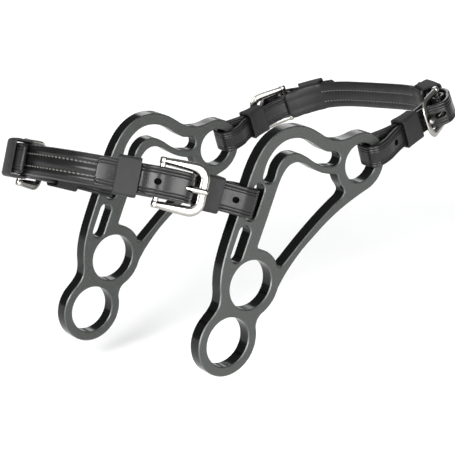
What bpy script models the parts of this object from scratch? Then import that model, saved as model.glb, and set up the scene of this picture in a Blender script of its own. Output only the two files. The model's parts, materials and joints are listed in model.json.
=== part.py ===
"""Hackamore: two flat metal cheek plates joined by a noseband and a chin strap.

Frame: metres, +X to the horse's nose, +Y to its left, +Z up.  The origin lies midway between the
two cheekpiece slots.  Sizes below are in millimetres and are turned into metres where a piece is made.
"""
import math

import bmesh
import bpy
import numpy as np
from mathutils import Matrix, Vector

MM = 0.001

# Cheek plates: outline points are (u, v) from the centre of the rein ring.
PLATE_THICK = 8.0
PLATE_PITCH = 133.0
PLATE_DROP = 22.6
ORIGIN_U = 45.0
ORIGIN_V = 102.0
REIN_RING = (0.0, 0.0, 14.0, 19.6)
MID_RING = (15.5, 29.4, 14.0, 20.0)
NOSE_RING = (92.6, 83.8, 11.2, 17.3)
NOTCH_FILLET = 8.0
SLOT_ANGLE = 23.4
SLOT_WIDTH = 8.0
SLOT_LENGTH = 21.0
LOWER_SLOT = (8.75, 53.9)
UPPER_SLOT = (18.2, 75.75)
CHEEK_SLOT_WIDTH = 8.2
CHEEK_SLOT = ((27.9, 88.3), (30.2, 94.2), (34.2, 98.9), (39.2, 101.7), (44.6, 102.3),
              (50.2, 101.0), (56.0, 97.7), (61.2, 93.9), (66.6, 90.9), (73.2, 89.6))
REAR_EDGE = ((-8.3, 19.0), (-5.9, 22.6), (-5.0, 27.5), (-5.1, 33.5), (-4.4, 40.5), (-2.3, 48.5),
             (2.1, 60.0), (7.3, 72.0), (12.4, 84.0), (16.3, 93.0), (20.0, 99.6), (25.0, 105.8),
             (31.0, 110.2), (38.0, 112.8), (45.0, 113.2), (52.0, 111.9), (58.0, 109.2),
             (63.0, 106.0), (68.0, 102.7), (73.0, 100.5), (79.0, 99.5), (84.5, 99.8))
ARM_LOWER_EDGE = ((94.6, 66.2), (90.0, 64.5), (80.0, 60.2), (70.0, 54.8), (60.0, 48.0),
                  (50.0, 40.5), (40.0, 30.5), (35.2, 24.2))
WINDOW_UPPER = ((20.35, 50.2), (24.0, 58.6), (28.2, 68.0), (33.0, 79.2), (35.6, 84.6),
                (38.4, 88.8), (41.6, 91.5), (45.2, 92.6), (48.8, 92.2), (52.4, 90.6),
                (56.3, 88.0), (60.4, 85.4), (65.0, 83.2), (70.0, 81.6), (73.6, 80.7))
WINDOW_LOWER = ((80.9, 68.9), (79.2, 66.6), (74.5, 63.7), (67.0, 58.8), (59.0, 53.1),
                (51.0, 46.9), (44.0, 41.1), (38.6, 36.6))

# Leather: layers are stacked outward from the middle line of each band.
GAP = 0.3
STRAP_THICK = 2.5
PAD_WIDTH = 16.8
PAD_THICK = 3.5
CHAPE_THICK = 2.0
CHAPE_TAIL = 25.0
CHAPE_PLAY = 0.5
KEEPER_WALL = 1.3
KEEPER_PLAY = 0.5
PLATE_CLEARANCE = 1.6
BEND_RADIUS = 2.8
SLIDE_TRAVEL = 2.0
HOLE_PITCH = 17.5
HOLE_RADIUS = 2.0
TIP_LENGTH = 6.0
LEG_N = GAP + STRAP_THICK / 2
PAD_N = -(2 * GAP + STRAP_THICK + PAD_THICK / 2)
TAIL_N = CHAPE_THICK + GAP + STRAP_THICK / 2
FLARE_N = PLATE_THICK / 2 + PLATE_CLEARANCE + STRAP_THICK / 2

# Buckles.
BAR_RADIUS = 1.6
PRONG_RADIUS = 1.2
WIRE_RADIUS = 1.9
KNUCKLE_RADIUS = 2.6
KNUCKLE_LENGTH = 4.0
FRAME_CORNER = 6.0
PRONG_SWING = 5.0
PRONG_RING = BAR_RADIUS + GAP + PRONG_RADIUS
PIVOT_N = PRONG_RING + PRONG_RADIUS + 0.4
CREST_N = PIVOT_N + PRONG_RING + PRONG_RADIUS + GAP + STRAP_THICK / 2

# The two bands: where each leaves the plates, how far it reaches, and the widths of its leather and
# buckles.  "fixed_half" and "frame_half" run to the middle of the keeper's wall and of the wire.
SHEAR = -PLATE_DROP / PLATE_PITCH
BANDS = {
    "noseband": {"forward": 1, "x": NOSE_RING[0] - ORIGIN_U, "z": NOSE_RING[1] - ORIGIN_V,
                 "rise": 0.303, "reach": 79.0, "power": 4.1, "bend": 7.1, "strap": 13.2,
                 "chape": 12.6, "fixed_half": 7.95, "frame_half": 9.7, "frame_length": 21.0},
    "chinstrap": {"forward": -1, "x": UPPER_SLOT[0] - ORIGIN_U - 0.3,
                  "z": UPPER_SLOT[1] - ORIGIN_V - 0.7,
                  "rise": 0.385, "reach": 92.5, "power": 2.28, "bend": 1.15, "strap": 16.0,
                  "chape": 15.4, "fixed_half": 9.8, "frame_half": 11.5, "frame_length": 23.5},
}
# Distances along a band from its plate: flare of the legs, sliding keeper, buckle, fixed keeper, tip.
ENDS = {
    ("noseband", "right"): {"flare": ((15.5, 1.0), (19.0, 0.9), (24.0, 0.58), (30.0, 0.28),
                                      (36.0, 0.08), (42.0, 0.0)),
                            "sliding": (34.0, 47.0), "pivot": 69.2, "bar_n": 6.6,
                            "fixed": (80.5, 94.0), "tip": 101.5},
    ("noseband", "left"): {"flare": ((15.5, 1.0), (18.5, 0.9), (22.0, 0.6), (26.0, 0.32),
                                     (30.5, 0.1), (35.5, 0.0)),
                           "sliding": (28.4, 40.6), "pivot": 59.8, "bar_n": 8.6,
                           "fixed": (69.0, 82.5), "tip": 90.0},
    ("chinstrap", "right"): {"flare": ((8.0, 1.0), (10.5, 0.94), (14.5, 0.58), (19.0, 0.2),
                                       (24.0, 0.03), (30.0, 0.0)),
                             "sliding": (22.8, 35.0), "pivot": 58.6, "bar_n": 7.6,
                             "fixed": (69.0, 82.0), "tip": 90.0},
    ("chinstrap", "left"): {"flare": ((8.0, 1.0), (11.0, 0.94), (16.0, 0.56), (21.0, 0.24),
                                      (27.0, 0.05), (33.0, 0.0)),
                            "sliding": (27.4, 45.0), "pivot": 71.2, "bar_n": 6.9,
                            "fixed": (107.5, 124.5), "tip": 132.5},
}

MATERIALS = {
    "plate": ((0.115, 0.118, 0.124, 1.0), 0.75, 0.42),
    "steel": ((0.62, 0.62, 0.61, 1.0), 1.0, 0.22),
    "strap": ((0.012, 0.011, 0.011, 1.0), 0.0, 0.42),
    "pad": ((0.015, 0.014, 0.014, 1.0), 0.0, 0.6),
    "keeper": ((0.02, 0.02, 0.02, 1.0), 0.0, 0.55),
}


def arc(cx, cy, r, a0, a1, step=10.0):
    """Points on a circle from angle a0 to a1 in degrees."""
    count = max(2, int(math.ceil(abs(a1 - a0) / step)) + 1)
    t = np.radians(np.linspace(a0, a1, count))
    return np.c_[cx + r * np.cos(t), cy + r * np.sin(t)]


def smooth(points, count=3):
    """A smooth curve through the points, count steps to each span."""
    p = np.array(points, float)
    p = np.vstack([2 * p[0] - p[1], p, 2 * p[-1] - p[-2]])
    out = []
    for i in range(1, len(p) - 2):
        p0, p1, p2, p3 = p[i - 1:i + 3]
        t = np.linspace(0, 1, count + 1)[:-1, None]
        d = [math.sqrt(np.linalg.norm(b - a)) for a, b in ((p0, p1), (p1, p2), (p2, p3))]
        m1 = (p2 - p1) + d[1] * ((p1 - p0) / d[0] - (p2 - p0) / (d[0] + d[1]))
        m2 = (p2 - p1) + d[1] * ((p3 - p2) / d[2] - (p3 - p1) / (d[1] + d[2]))
        out.append((2 * t**3 - 3 * t**2 + 1) * p1 + (t**3 - 2 * t**2 + t) * m1
                   + (3 * t**2 - 2 * t**3) * p2 + (t**3 - t**2) * m2)
    return np.vstack(out + [p[-2][None]])


def on_circle(ring, angle):
    """The point at an angle on the outer edge of a ring."""
    a = math.radians(angle)
    return (ring[0] + ring[3] * math.cos(a), ring[1] + ring[3] * math.sin(a))


def plate_outline():
    """The outer edge of a cheek plate, anticlockwise seen with u to the right and v up."""
    rx, ry, _, rr = REIN_RING
    mx, my, _, mr = MID_RING
    span = math.hypot(mx - rx, my - ry)
    dx = (mx - rx) / span
    dy = (my - ry) / span
    along = (span**2 + (rr + NOTCH_FILLET)**2 - (mr + NOTCH_FILLET)**2) / (2 * span)
    across = math.sqrt((rr + NOTCH_FILLET)**2 - along**2)
    fx = rx + dx * along + dy * across
    fy = ry + dy * along - dx * across
    to_mid = math.degrees(math.atan2(my - fy, mx - fx))
    to_rein = math.degrees(math.atan2(ry - fy, rx - fx)) % 360.0
    notch = arc(fx, fy, NOTCH_FILLET, to_mid, to_rein, 15)
    rein = arc(rx, ry, rr, to_rein - 180, -232, 9)
    rear = smooth((tuple(rein[-1]),) + REAR_EDGE + (on_circle(NOSE_RING, 105),), 2)
    nose = arc(NOSE_RING[0], NOSE_RING[1], NOSE_RING[3], 105, -72, 9)
    arm = smooth((tuple(nose[-1]),) + ARM_LOWER_EDGE + (on_circle(MID_RING, -18),), 2)
    mid = arc(mx, my, mr, -18, to_mid - 180, 9)
    return np.vstack([rein[:-1], rear[:-1], nose[:-1], arm[:-1], mid[:-1], notch[:-1]])


def plate_window():
    """The large opening between the slots, the nose ring and the lower arm."""
    left = smooth(WINDOW_UPPER, 2)
    ring = arc(NOSE_RING[0], NOSE_RING[1], NOSE_RING[3], 193, 221)
    arm = smooth(WINDOW_LOWER, 2)
    mid = arc(MID_RING[0], MID_RING[1], MID_RING[3], 29, 72)
    c1 = smooth((tuple(left[-1]), (75.0, 80.4), tuple(ring[0])), 2)
    c2 = smooth((tuple(ring[-1]), (80.6, 70.6), tuple(arm[0])), 2)
    c3 = smooth((tuple(arm[-1]), (37.0, 35.5), (35.2, 35.2), (33.8, 36.4), tuple(mid[0])), 2)
    c4 = smooth((tuple(mid[-1]), (20.7, 49.0), tuple(left[0])), 2)
    return np.vstack([left[:-1], c1[:-1], ring[:-1], c2[:-1], arm[:-1], c3[:-1], mid[:-1], c4[:-1]])


def slot_outline(centre):
    """A straight slot with round ends, leaning forward at the top."""
    a = math.radians(SLOT_ANGLE)
    h = (SLOT_LENGTH - SLOT_WIDTH) / 2
    x = h * math.sin(a)
    y = h * math.cos(a)
    top = arc(centre[0] + x, centre[1] + y, SLOT_WIDTH / 2, -SLOT_ANGLE, 180 - SLOT_ANGLE, 20)
    foot = arc(centre[0] - x, centre[1] - y, SLOT_WIDTH / 2, 180 - SLOT_ANGLE, 360 - SLOT_ANGLE, 20)
    return np.vstack([top, foot])


def cheek_slot_outline():
    """The curved slot for the cheekpiece: a band of even width about its middle line."""
    p = smooth(CHEEK_SLOT, 3)
    t = np.gradient(p, axis=0)
    t /= np.linalg.norm(t, axis=1)[:, None]
    n = np.c_[-t[:, 1], t[:, 0]] * CHEEK_SLOT_WIDTH / 2
    a1 = math.degrees(math.atan2(t[-1][1], t[-1][0]))
    a0 = math.degrees(math.atan2(t[0][1], t[0][0]))
    end = arc(p[-1][0], p[-1][1], CHEEK_SLOT_WIDTH / 2, a1 - 90, a1 + 90, 20)
    start = arc(p[0][0], p[0][1], CHEEK_SLOT_WIDTH / 2, a0 + 90, a0 + 270, 20)
    return np.vstack([p - n, end[1:-1], (p + n)[::-1], start[1:-1]])


def band_table(band):
    """The middle line of a band at even steps: points, directions and total length.

    In plan the line is half of |y/w|^p + |d/reach|^p = 1 between the two plates; it climbs by rise
    for each millimetre of d and follows the lower left plate down.
    """
    w = PLATE_PITCH / 2
    t = np.linspace(-math.pi / 2, math.pi / 2, 6001)
    y = w * np.sign(np.sin(t)) * np.abs(np.sin(t))**(2 / band["power"])
    d = band["reach"] * np.abs(np.cos(t))**(2 / band["power"])
    p = np.c_[band["x"] + band["forward"] * d, y, band["z"] + band["rise"] * d + SHEAR * y]
    s = np.r_[0, np.cumsum(np.linalg.norm(np.diff(p, axis=0), axis=1))]
    even = np.linspace(0, s[-1], 601)
    p = np.c_[[np.interp(even, s, p[:, k]) for k in range(3)]].T
    tangent = np.gradient(p, axis=0)
    tangent /= np.linalg.norm(tangent, axis=1)[:, None]
    return even, p, tangent


def band_place(name, s, n, v):
    """World point in mm at distance s along a band, n outward and v up its width."""
    band = BANDS[name]
    table, points, tangents = TABLES[name]
    s = np.asarray(s, float)
    c = np.stack([np.interp(s, table, points[:, k]) for k in range(3)], -1)
    t = np.stack([np.interp(s, table, tangents[:, k]) for k in range(3)], -1)
    t /= np.linalg.norm(t, axis=-1, keepdims=True)
    w = np.clip((np.minimum(s, table[-1] - s) - 10.0) / 50.0, 0, 1)
    w = (w * w * (3 - 2 * w))[..., None]
    lean = np.array([-band["rise"] * band["forward"], 0.0, 1.0])
    up = lean + w * np.array([0.0, -SHEAR, 0.0])
    up = up - np.sum(up * t, -1, keepdims=True) * t
    up /= np.linalg.norm(up, axis=-1, keepdims=True)
    out = band["forward"] * np.cross(t, up)
    return c + out * np.asarray(n, float)[..., None] + up * np.asarray(v, float)[..., None]


def from_plate(name, side, e):
    """Distance along the whole band of a point e from its right or left plate."""
    if side == "right":
        return e
    return TABLES[name][0][-1] - e


TABLES = {name: band_table(band) for name, band in BANDS.items()}


def leg_points(name, side):
    """One leg of a strap from its bend to the sliding keeper, as (distance, outward) pairs."""
    bend = BANDS[name]["bend"]
    end = ENDS[(name, side)]
    turn = arc(bend + BEND_RADIUS, FLARE_N - BEND_RADIUS, BEND_RADIUS, 180, 90, 18)
    spread = [(e, LEG_N + k * (FLARE_N - LEG_N)) for e, k in end["flare"]]
    return np.vstack([turn[:-1], smooth([tuple(turn[-1])] + spread, 2)])


def billet_points(name, side):
    """The free end of a strap from the sliding keeper over the buckle bar to its tip."""
    end = ENDS[(name, side)]
    pivot = end["pivot"]
    drop = min(end["fixed"][0] - pivot, 12.0)
    bar = buckle_axes(name, side)[4]
    start = max(end["sliding"][1], end["flare"][-1][0] + 0.5)
    foot = max(bar + 2.2, start + 1.2)
    climb = CREST_N - LEG_N
    fall = CREST_N - TAIL_N
    marks = [(start, LEG_N), ((start + foot) / 2, LEG_N + 0.03 * climb),
             (foot, LEG_N + 0.10 * climb), (foot + 4.0, LEG_N + 0.48 * climb),
             (foot + 8.0, LEG_N + 0.90 * climb), (foot + 11.0, CREST_N + 1.1),
             ((foot + 11.0 + pivot) / 2, CREST_N + 0.9), (pivot - 0.6, CREST_N + 0.2),
             (pivot + 1.8, CREST_N - 0.05),
             (pivot + 0.5 * drop, CREST_N - 0.28 * fall),
             (pivot + 0.85 * drop, CREST_N - 0.70 * fall),
             (pivot + 1.2 * drop, CREST_N - 0.92 * fall), (pivot + 1.2 * drop + 6.0, TAIL_N)]
    tip = end["tip"]
    last = marks[-1][0]
    flat = [(e, TAIL_N) for e in np.arange(last + 2.5, tip - TIP_LENGTH - 1.2, 2.5)]
    flat.append((tip - TIP_LENGTH, TAIL_N))
    nose = [(tip - TIP_LENGTH * (1 - k), TAIL_N) for k in (0.4, 0.75, 1.0)]
    return np.vstack([smooth(marks, 3), flat, nose])


def strap_path(name):
    """The whole strap from its right tip to its left tip: (s, n, half width) rows."""
    width = BANDS[name]["strap"]
    rows = []
    for side in ("right", "left"):
        leg = leg_points(name, side)
        billet = billet_points(name, side)
        outer = np.vstack([leg[:-1], billet])
        tip = ENDS[(name, side)]["tip"]
        reach = np.clip((outer[:, 0] - (tip - TIP_LENGTH)) / TIP_LENGTH, 0, 0.97)
        half = width / 2 * np.sqrt(1 - reach**2)
        inner = np.c_[leg[:, 0], -leg[:, 1], np.full(len(leg), width / 2)]
        outer = np.c_[outer, half]
        one = np.vstack([outer[::-1], inner])
        one[:, 0] = [from_plate(name, side, e) for e in one[:, 0]]
        rows.append(one if side == "right" else one[::-1])
    start = rows[0][-1][0]
    stop = rows[1][0][0]
    count = int((stop - start) / 2.5)
    middle = np.linspace(start, stop, count + 1)[1:-1]
    centre = np.c_[middle, np.full(len(middle), -LEG_N), np.full(len(middle), width / 2)]
    return np.vstack([rows[0], centre, rows[1]])


def billet_n(name, side, e):
    """Outward position of the free end's middle at distance e."""
    p = np.vstack([leg_points(name, side)[8:-1], billet_points(name, side)])
    return np.interp(e, p[:, 0], p[:, 1])


def buckle_axes(name, side):
    """Place of a buckle: pivot point, end bar point and the axes along, across and outward."""
    end = ENDS[(name, side)]
    length = BANDS[name]["frame_length"]
    pivot = band_place(name, from_plate(name, side, end["pivot"]), PIVOT_N, 0.0)
    tries = np.linspace(end["pivot"] - length - 6.0, end["pivot"] - length + 6.0, 1601)
    bars = band_place(name, from_plate(name, side, tries), np.full(1601, end["bar_n"]), np.zeros(1601))
    best = int(np.argmin(np.abs(np.linalg.norm(bars - pivot, axis=1) - length)))
    bar = bars[best]
    along = (bar - pivot) / np.linalg.norm(bar - pivot)
    centre = from_plate(name, side, (end["pivot"] + tries[best]) / 2)
    up = band_place(name, centre, 0.0, 1.0) - band_place(name, centre, 0.0, 0.0)
    outward = band_place(name, centre, 1.0, 0.0) - band_place(name, centre, 0.0, 0.0)
    up -= along * np.dot(up, along)
    up /= np.linalg.norm(up)
    if np.dot(np.cross(along, up), outward) < 0:
        up = -up
    return pivot, along, up, np.cross(along, up), tries[best]


def matrix_of(point, x, y, z):
    """A world matrix from a point in mm and three unit axes."""
    m = Matrix.Identity(4)
    for k in range(3):
        m[k][0] = x[k]
        m[k][1] = y[k]
        m[k][2] = z[k]
        m[k][3] = point[k] * MM
    return m


def make_material(name):
    """One surface finish."""
    colour, metallic, roughness = MATERIALS[name]
    material = bpy.data.materials.new(name)
    material.use_nodes = True
    shader = material.node_tree.nodes["Principled BSDF"]
    shader.inputs["Base Color"].default_value = colour
    shader.inputs["Metallic"].default_value = metallic
    shader.inputs["Roughness"].default_value = roughness
    material.diffuse_color = colour
    return material


def new_object(name, data, collection, material=None):
    """Link a new object and give it its finish."""
    obj = bpy.data.objects.new(name, data)
    collection.objects.link(obj)
    if material is not None:
        obj.data.materials.append(material)
    return obj


def make_mesh(name, points, faces):
    """A mesh from points in mm and face lists."""
    mesh = bpy.data.meshes.new(name)
    mesh.from_pydata([tuple(p * MM for p in row) for row in points], [], faces)
    mesh.update()
    return mesh


def grid_faces(rows, columns, closed=False):
    """Quads of a grid, joined round when closed."""
    faces = []
    last = columns if closed else columns - 1
    for i in range(rows - 1):
        for j in range(last):
            k = (j + 1) % columns
            faces.append((i * columns + j, i * columns + k, (i + 1) * columns + k, (i + 1) * columns + j))
    return faces


def apply_modifiers(obj):
    """Turn an object's modifiers into its mesh."""
    graph = bpy.context.evaluated_depsgraph_get()
    mesh = bpy.data.meshes.new_from_object(obj.evaluated_get(graph))
    obj.modifiers.clear()
    old = obj.data
    obj.data = mesh
    if isinstance(old, bpy.types.Mesh):
        bpy.data.meshes.remove(old)
    return obj


def outward_normals(mesh):
    """Face every side outward."""
    work = bmesh.new()
    work.from_mesh(mesh)
    bmesh.ops.recalc_face_normals(work, faces=work.faces)
    if work.calc_volume(signed=True) < 0:
        bmesh.ops.reverse_faces(work, faces=work.faces)
    work.to_mesh(mesh)
    work.free()


def thicken(obj, thickness):
    """Give an open surface its thickness, half to each side."""
    solid = obj.modifiers.new("thickness", "SOLIDIFY")
    solid.thickness = thickness * MM
    solid.offset = 0.0
    solid.use_even_offset = True
    apply_modifiers(obj)
    outward_normals(obj.data)
    return obj


def ribbon(name, band, rows, thickness, collection, material=None):
    """A flat strip along (s, n, half width) rows of a band."""
    rows = np.asarray(rows, float)
    left = band_place(band, rows[:, 0], rows[:, 1], -rows[:, 2])
    right = band_place(band, rows[:, 0], rows[:, 1], rows[:, 2])
    points = np.stack([left, right], 1).reshape(-1, 3)
    mesh = make_mesh(name, points.tolist(), grid_faces(len(rows), 2))
    obj = new_object(name, mesh, collection, material)
    return thicken(obj, thickness)


def sleeve(name, band, rows, half, collection, material):
    """A flat tube along (s, low n, high n) rows, as wide as half to each side, with round corners."""
    points = []
    count = 0
    for s, low, high in rows:
        r = 1.2
        ring = []
        for cn, cv, a0 in ((high - r, half - r, 0), (high - r, r - half, -90), (low + r, r - half, -180),
                           (low + r, half - r, -270)):
            for a in (a0 + 90, a0 + 45, a0):
                t = math.radians(a)
                ring.append((cn + r * math.cos(t), cv + r * math.sin(t)))
        count = len(ring)
        ring = np.array(ring)
        points.append(band_place(band, np.full(count, s), ring[:, 0], ring[:, 1]))
    points = np.concatenate(points)
    mesh = make_mesh(name, points.tolist(), grid_faces(len(rows), count, True))
    obj = new_object(name, mesh, collection, material)
    return thicken(obj, KEEPER_WALL)


def tube_mesh(name, path, radius, cyclic=False):
    """A round wire along points in mm, closed at its ends."""
    curve = bpy.data.curves.new(name, "CURVE")
    curve.dimensions = "3D"
    curve.bevel_depth = radius * MM
    curve.bevel_resolution = 2
    curve.use_fill_caps = True
    line = curve.splines.new("POLY")
    line.points.add(len(path) - 1)
    for point, p in zip(line.points, path):
        point.co = (p[0] * MM, p[1] * MM, p[2] * MM, 1.0)
    line.use_cyclic_u = cyclic
    wire = bpy.data.objects.new(name, curve)
    bpy.context.scene.collection.objects.link(wire)
    graph = bpy.context.evaluated_depsgraph_get()
    mesh = bpy.data.meshes.new_from_object(wire.evaluated_get(graph))
    bpy.data.objects.remove(wire)
    bpy.data.curves.remove(curve)
    work = bmesh.new()
    work.from_mesh(mesh)
    bmesh.ops.remove_doubles(work, verts=work.verts, dist=0.00001)
    work.to_mesh(mesh)
    work.free()
    outward_normals(mesh)
    return mesh


def cylinder_mesh(name, radius, length, offset, segments):
    """A round bar along Y, moved by offset mm."""
    mesh = bpy.data.meshes.new(name)
    work = bmesh.new()
    bmesh.ops.create_cone(work, cap_ends=True, segments=segments, radius1=radius * MM,
                          radius2=radius * MM, depth=length * MM)
    bmesh.ops.rotate(work, verts=work.verts, matrix=Matrix.Rotation(math.radians(90), 3, "X"))
    bmesh.ops.translate(work, verts=work.verts, vec=Vector(offset) * MM)
    work.to_mesh(mesh)
    work.free()
    return mesh


def boolean(obj, other, operation, keep_other=True):
    """Join or cut with another solid."""
    step = obj.modifiers.new(operation.lower(), "BOOLEAN")
    step.operation = operation
    step.solver = "EXACT"
    step.object = other
    apply_modifiers(obj)
    if not keep_other:
        bpy.data.objects.remove(other)
    return obj


def shade_smooth(obj, angle):
    """Smooth shading over edges flatter than the angle."""
    obj.data.shade_smooth()
    obj.data.set_sharp_from_angle(angle=math.radians(angle))


def hide_cutter(obj):
    """Cutters stay out of sight."""
    obj.hide_render = True
    obj.display_type = "WIRE"


def make_plate(name, side, collection, material):
    """One cheek plate: a flat outline with its holes, drawn in its own plane and stood upright."""
    curve = bpy.data.curves.new(name, "CURVE")
    curve.dimensions = "2D"
    curve.fill_mode = "BOTH"
    curve.extrude = PLATE_THICK / 2 * MM
    turned = -PLATE_DROP / 2 * side
    loops = [plate_outline(), plate_window(), cheek_slot_outline(), slot_outline(LOWER_SLOT),
             slot_outline(UPPER_SLOT)]
    for ring in (REIN_RING, MID_RING, NOSE_RING):
        loops.append(arc(ring[0], ring[1], ring[2], 0, 350, 10))
    for loop in loops:
        line = curve.splines.new("POLY")
        line.points.add(len(loop) - 1)
        for point, p in zip(line.points, loop):
            point.co = ((p[0] - NOSE_RING[0]) * MM, (p[1] - NOSE_RING[1]) * MM, 0.0, 1.0)
        line.use_cyclic_u = True
    outline = bpy.data.objects.new(name, curve)
    bpy.context.scene.collection.objects.link(outline)
    graph = bpy.context.evaluated_depsgraph_get()
    mesh = bpy.data.meshes.new_from_object(outline.evaluated_get(graph))
    bpy.data.objects.remove(outline)
    bpy.data.curves.remove(curve)
    work = bmesh.new()
    work.from_mesh(mesh)
    bmesh.ops.remove_doubles(work, verts=work.verts, dist=0.000005)
    bmesh.ops.rotate(work, verts=work.verts, matrix=Matrix.Rotation(math.radians(90), 3, "X"))
    work.to_mesh(mesh)
    work.free()
    outward_normals(mesh)
    obj = new_object(name, mesh, collection, material)
    x = NOSE_RING[0] - ORIGIN_U
    z = NOSE_RING[1] - ORIGIN_V + turned
    obj.matrix_world = Matrix.Translation((x * MM, side * PLATE_PITCH / 2 * MM, z * MM))
    shade_smooth(obj, 30)
    return obj


def make_frame(name, band, place, collection, material):
    """A buckle frame: a bent wire whose rails end in knuckles on the pivot bar."""
    half = BANDS[band]["frame_half"]
    corner = BANDS[band]["frame_length"] - FRAME_CORNER
    side = half - FRAME_CORNER
    upper = arc(corner, side, FRAME_CORNER, 90, 0, 18)
    lower = arc(corner, -side, FRAME_CORNER, 0, -90, 18)
    plan = np.vstack([[(0.0, half)], upper, lower, [(0.0, -half)]])
    wire = tube_mesh(name, [(x, y, 0.0) for x, y in plan], WIRE_RADIUS)
    obj = new_object(name, wire, collection, material)
    for y in (half, -half):
        knuckle = cylinder_mesh("knuckle", KNUCKLE_RADIUS, KNUCKLE_LENGTH, (0.0, y, 0.0), 16)
        boolean(obj, new_object("knuckle", knuckle, collection), "UNION", False)
    bar = cylinder_mesh("bar", BAR_RADIUS, 2 * half + KNUCKLE_LENGTH + 1.0, (0.0, 0.0, 0.0), 12)
    boolean(obj, new_object("bar", bar, collection), "UNION", False)
    outward_normals(obj.data)
    obj.matrix_world = place
    shade_smooth(obj, 40)
    return obj


def make_prong(name, band, place, collection, material):
    """A buckle tongue: its eye hooks round the pivot bar and its tip lies on the end bar."""
    length = BANDS[band]["frame_length"]
    rest = WIRE_RADIUS + GAP + PRONG_RADIUS
    eye = arc(0.0, 0.0, PRONG_RING, 345, 90, 20)
    shank = [(8.0, PRONG_RING + 0.05), (14.0, rest), (length + 0.5, rest),
             (length + 2.8, rest - 0.5)]
    plan = np.vstack([eye, shank])
    mesh = tube_mesh(name, [(x, 0.0, z) for x, z in plan], PRONG_RADIUS)
    obj = new_object(name, mesh, collection, material)
    obj.matrix_world = place
    shade_smooth(obj, 50)
    return obj


def prong_hole(name, side, axes):
    """Reach of the oval tongue hole along the free end, from the tongue's line and its swing."""
    pivot, along, _, outward, bar = axes
    e = np.linspace(bar + 2.0, ENDS[(name, side)]["pivot"] - 1.0, 400)
    n = billet_n(name, side, e)
    p = band_place(name, from_plate(name, side, e), n, np.zeros(len(e))) - pivot
    u = p @ along
    w = p @ outward
    half = STRAP_THICK / 2 * np.sqrt(1 + (np.gradient(w) / np.gradient(u))**2) + PRONG_RADIUS
    lift = u * math.tan(math.radians(PRONG_SWING)) + 0.022 * np.minimum(u, 14.0)
    hit = (w > PRONG_RING - half - 0.45) & (w < PRONG_RING + lift + half + 0.28)
    return e[hit][0], e[hit][-1]


def hole_cutter(name, band, side, low, high, half_width, depth, cutters):
    """A rounded punch through the free end of a strap between two distances."""
    centre = (low + high) / 2
    n0 = billet_n(band, side, np.array([low, centre, high]))
    s = [from_plate(band, side, e) for e in (low, centre, high)]
    a, c, b = band_place(band, np.array(s), n0, np.zeros(3))
    x = (b - a) / np.linalg.norm(b - a)
    up = band_place(band, s[1], 0.0, 1.0) - band_place(band, s[1], 0.0, 0.0)
    y = up - x * np.dot(up, x)
    y /= np.linalg.norm(y)
    z = np.cross(x, y)
    h = max(np.linalg.norm(b - a) / 2 - half_width, 0.0)
    ring = np.vstack([arc(h, 0.0, half_width, -90, 90, 36), arc(-h, 0.0, half_width, 90, 270, 36)])
    if h == 0.0:
        ring = arc(0.0, 0.0, half_width, 0, 324, 36)
    count = len(ring)
    points = [(x0, y0, z0) for z0 in (-depth, depth) for x0, y0 in ring]
    faces = grid_faces(2, count, True) + [tuple(range(count))[::-1], tuple(range(count, 2 * count))]
    obj = new_object(name, make_mesh(name, points, faces), cutters)
    outward_normals(obj.data)
    obj.matrix_world = matrix_of((a + b) / 2 * 0.5 + c * 0.5, x, y, z)
    bpy.context.view_layer.update()
    hide_cutter(obj)
    return obj


def tongue_cutter(name, band, side, low, high, cutters):
    """The oval tongue hole, cut along the rising free end of a strap between two distances."""
    wide = PRONG_RADIUS + 0.45
    e = np.linspace(low, high, 17)
    reach = np.clip((np.abs(e - (low + high) / 2) - (high - low) / 2 + wide) / wide, 0, 0.96)
    s = [from_plate(band, side, k) for k in e]
    rows = np.c_[s, billet_n(band, side, e), wide * np.sqrt(1 - reach**2)]
    obj = ribbon(name, band, rows, STRAP_THICK + 1.6, cutters)
    bpy.context.view_layer.update()
    hide_cutter(obj)
    return obj


def make_chape(name, band, side, place, collection, cutters, material):
    """The leather loop that holds the pivot bar, with a slot for the tongue's eye."""
    pivot = ENDS[(band, side)]["pivot"]
    r = BAR_RADIUS + CHAPE_PLAY + CHAPE_THICK / 2
    n = CHAPE_THICK / 2
    foot = PIVOT_N - r
    tail = [(pivot + k, n) for k in (CHAPE_TAIL, 22.0, 19.0, 16.0, 13.0, 10.0, 7.5)]
    tail = smooth(tail + [(pivot + 4.2, n + 0.1), (pivot + 1.8, foot - 0.25), (pivot, foot)], 2)
    eye = arc(pivot, PIVOT_N, r, 270, -22, 20)
    eye = np.vstack([eye[:, 0], eye[:, 1]]).T
    path = np.vstack([tail[:-1], eye])
    s = [from_plate(band, side, e) for e in path[:, 0]]
    rows = np.c_[s, path[:, 1], np.full(len(path), BANDS[band]["chape"] / 2)]
    obj = ribbon(name, band, rows, CHAPE_THICK, collection, material)
    slot = bpy.data.meshes.new(name + "_slot")
    work = bmesh.new()
    bmesh.ops.create_cube(work, size=1.0)
    bmesh.ops.scale(work, verts=work.verts, vec=Vector((12.0, 2 * PRONG_RADIUS + 0.8, 10.2)) * MM)
    work.to_mesh(slot)
    work.free()
    cutter = new_object(name + "_slot", slot, cutters)
    cutter.matrix_world = place
    bpy.context.view_layer.update()
    hide_cutter(cutter)
    boolean(obj, cutter, "DIFFERENCE")
    shade_smooth(obj, 40)
    return obj


def sleeve_rows(band, side, span, low, high, count=8):
    """Even stations of a keeper between two distances with its inner faces at low and high."""
    rows = []
    for e in np.linspace(span[0], span[1], count):
        rows.append((from_plate(band, side, e), low(e) - KEEPER_WALL / 2, high(e) + KEEPER_WALL / 2))
    return rows


def set_origin(obj, place):
    """Move an object's origin to a place on its joint axis without moving its shape."""
    obj.data.transform(place.inverted() @ obj.matrix_world)
    obj.matrix_world = place


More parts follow.
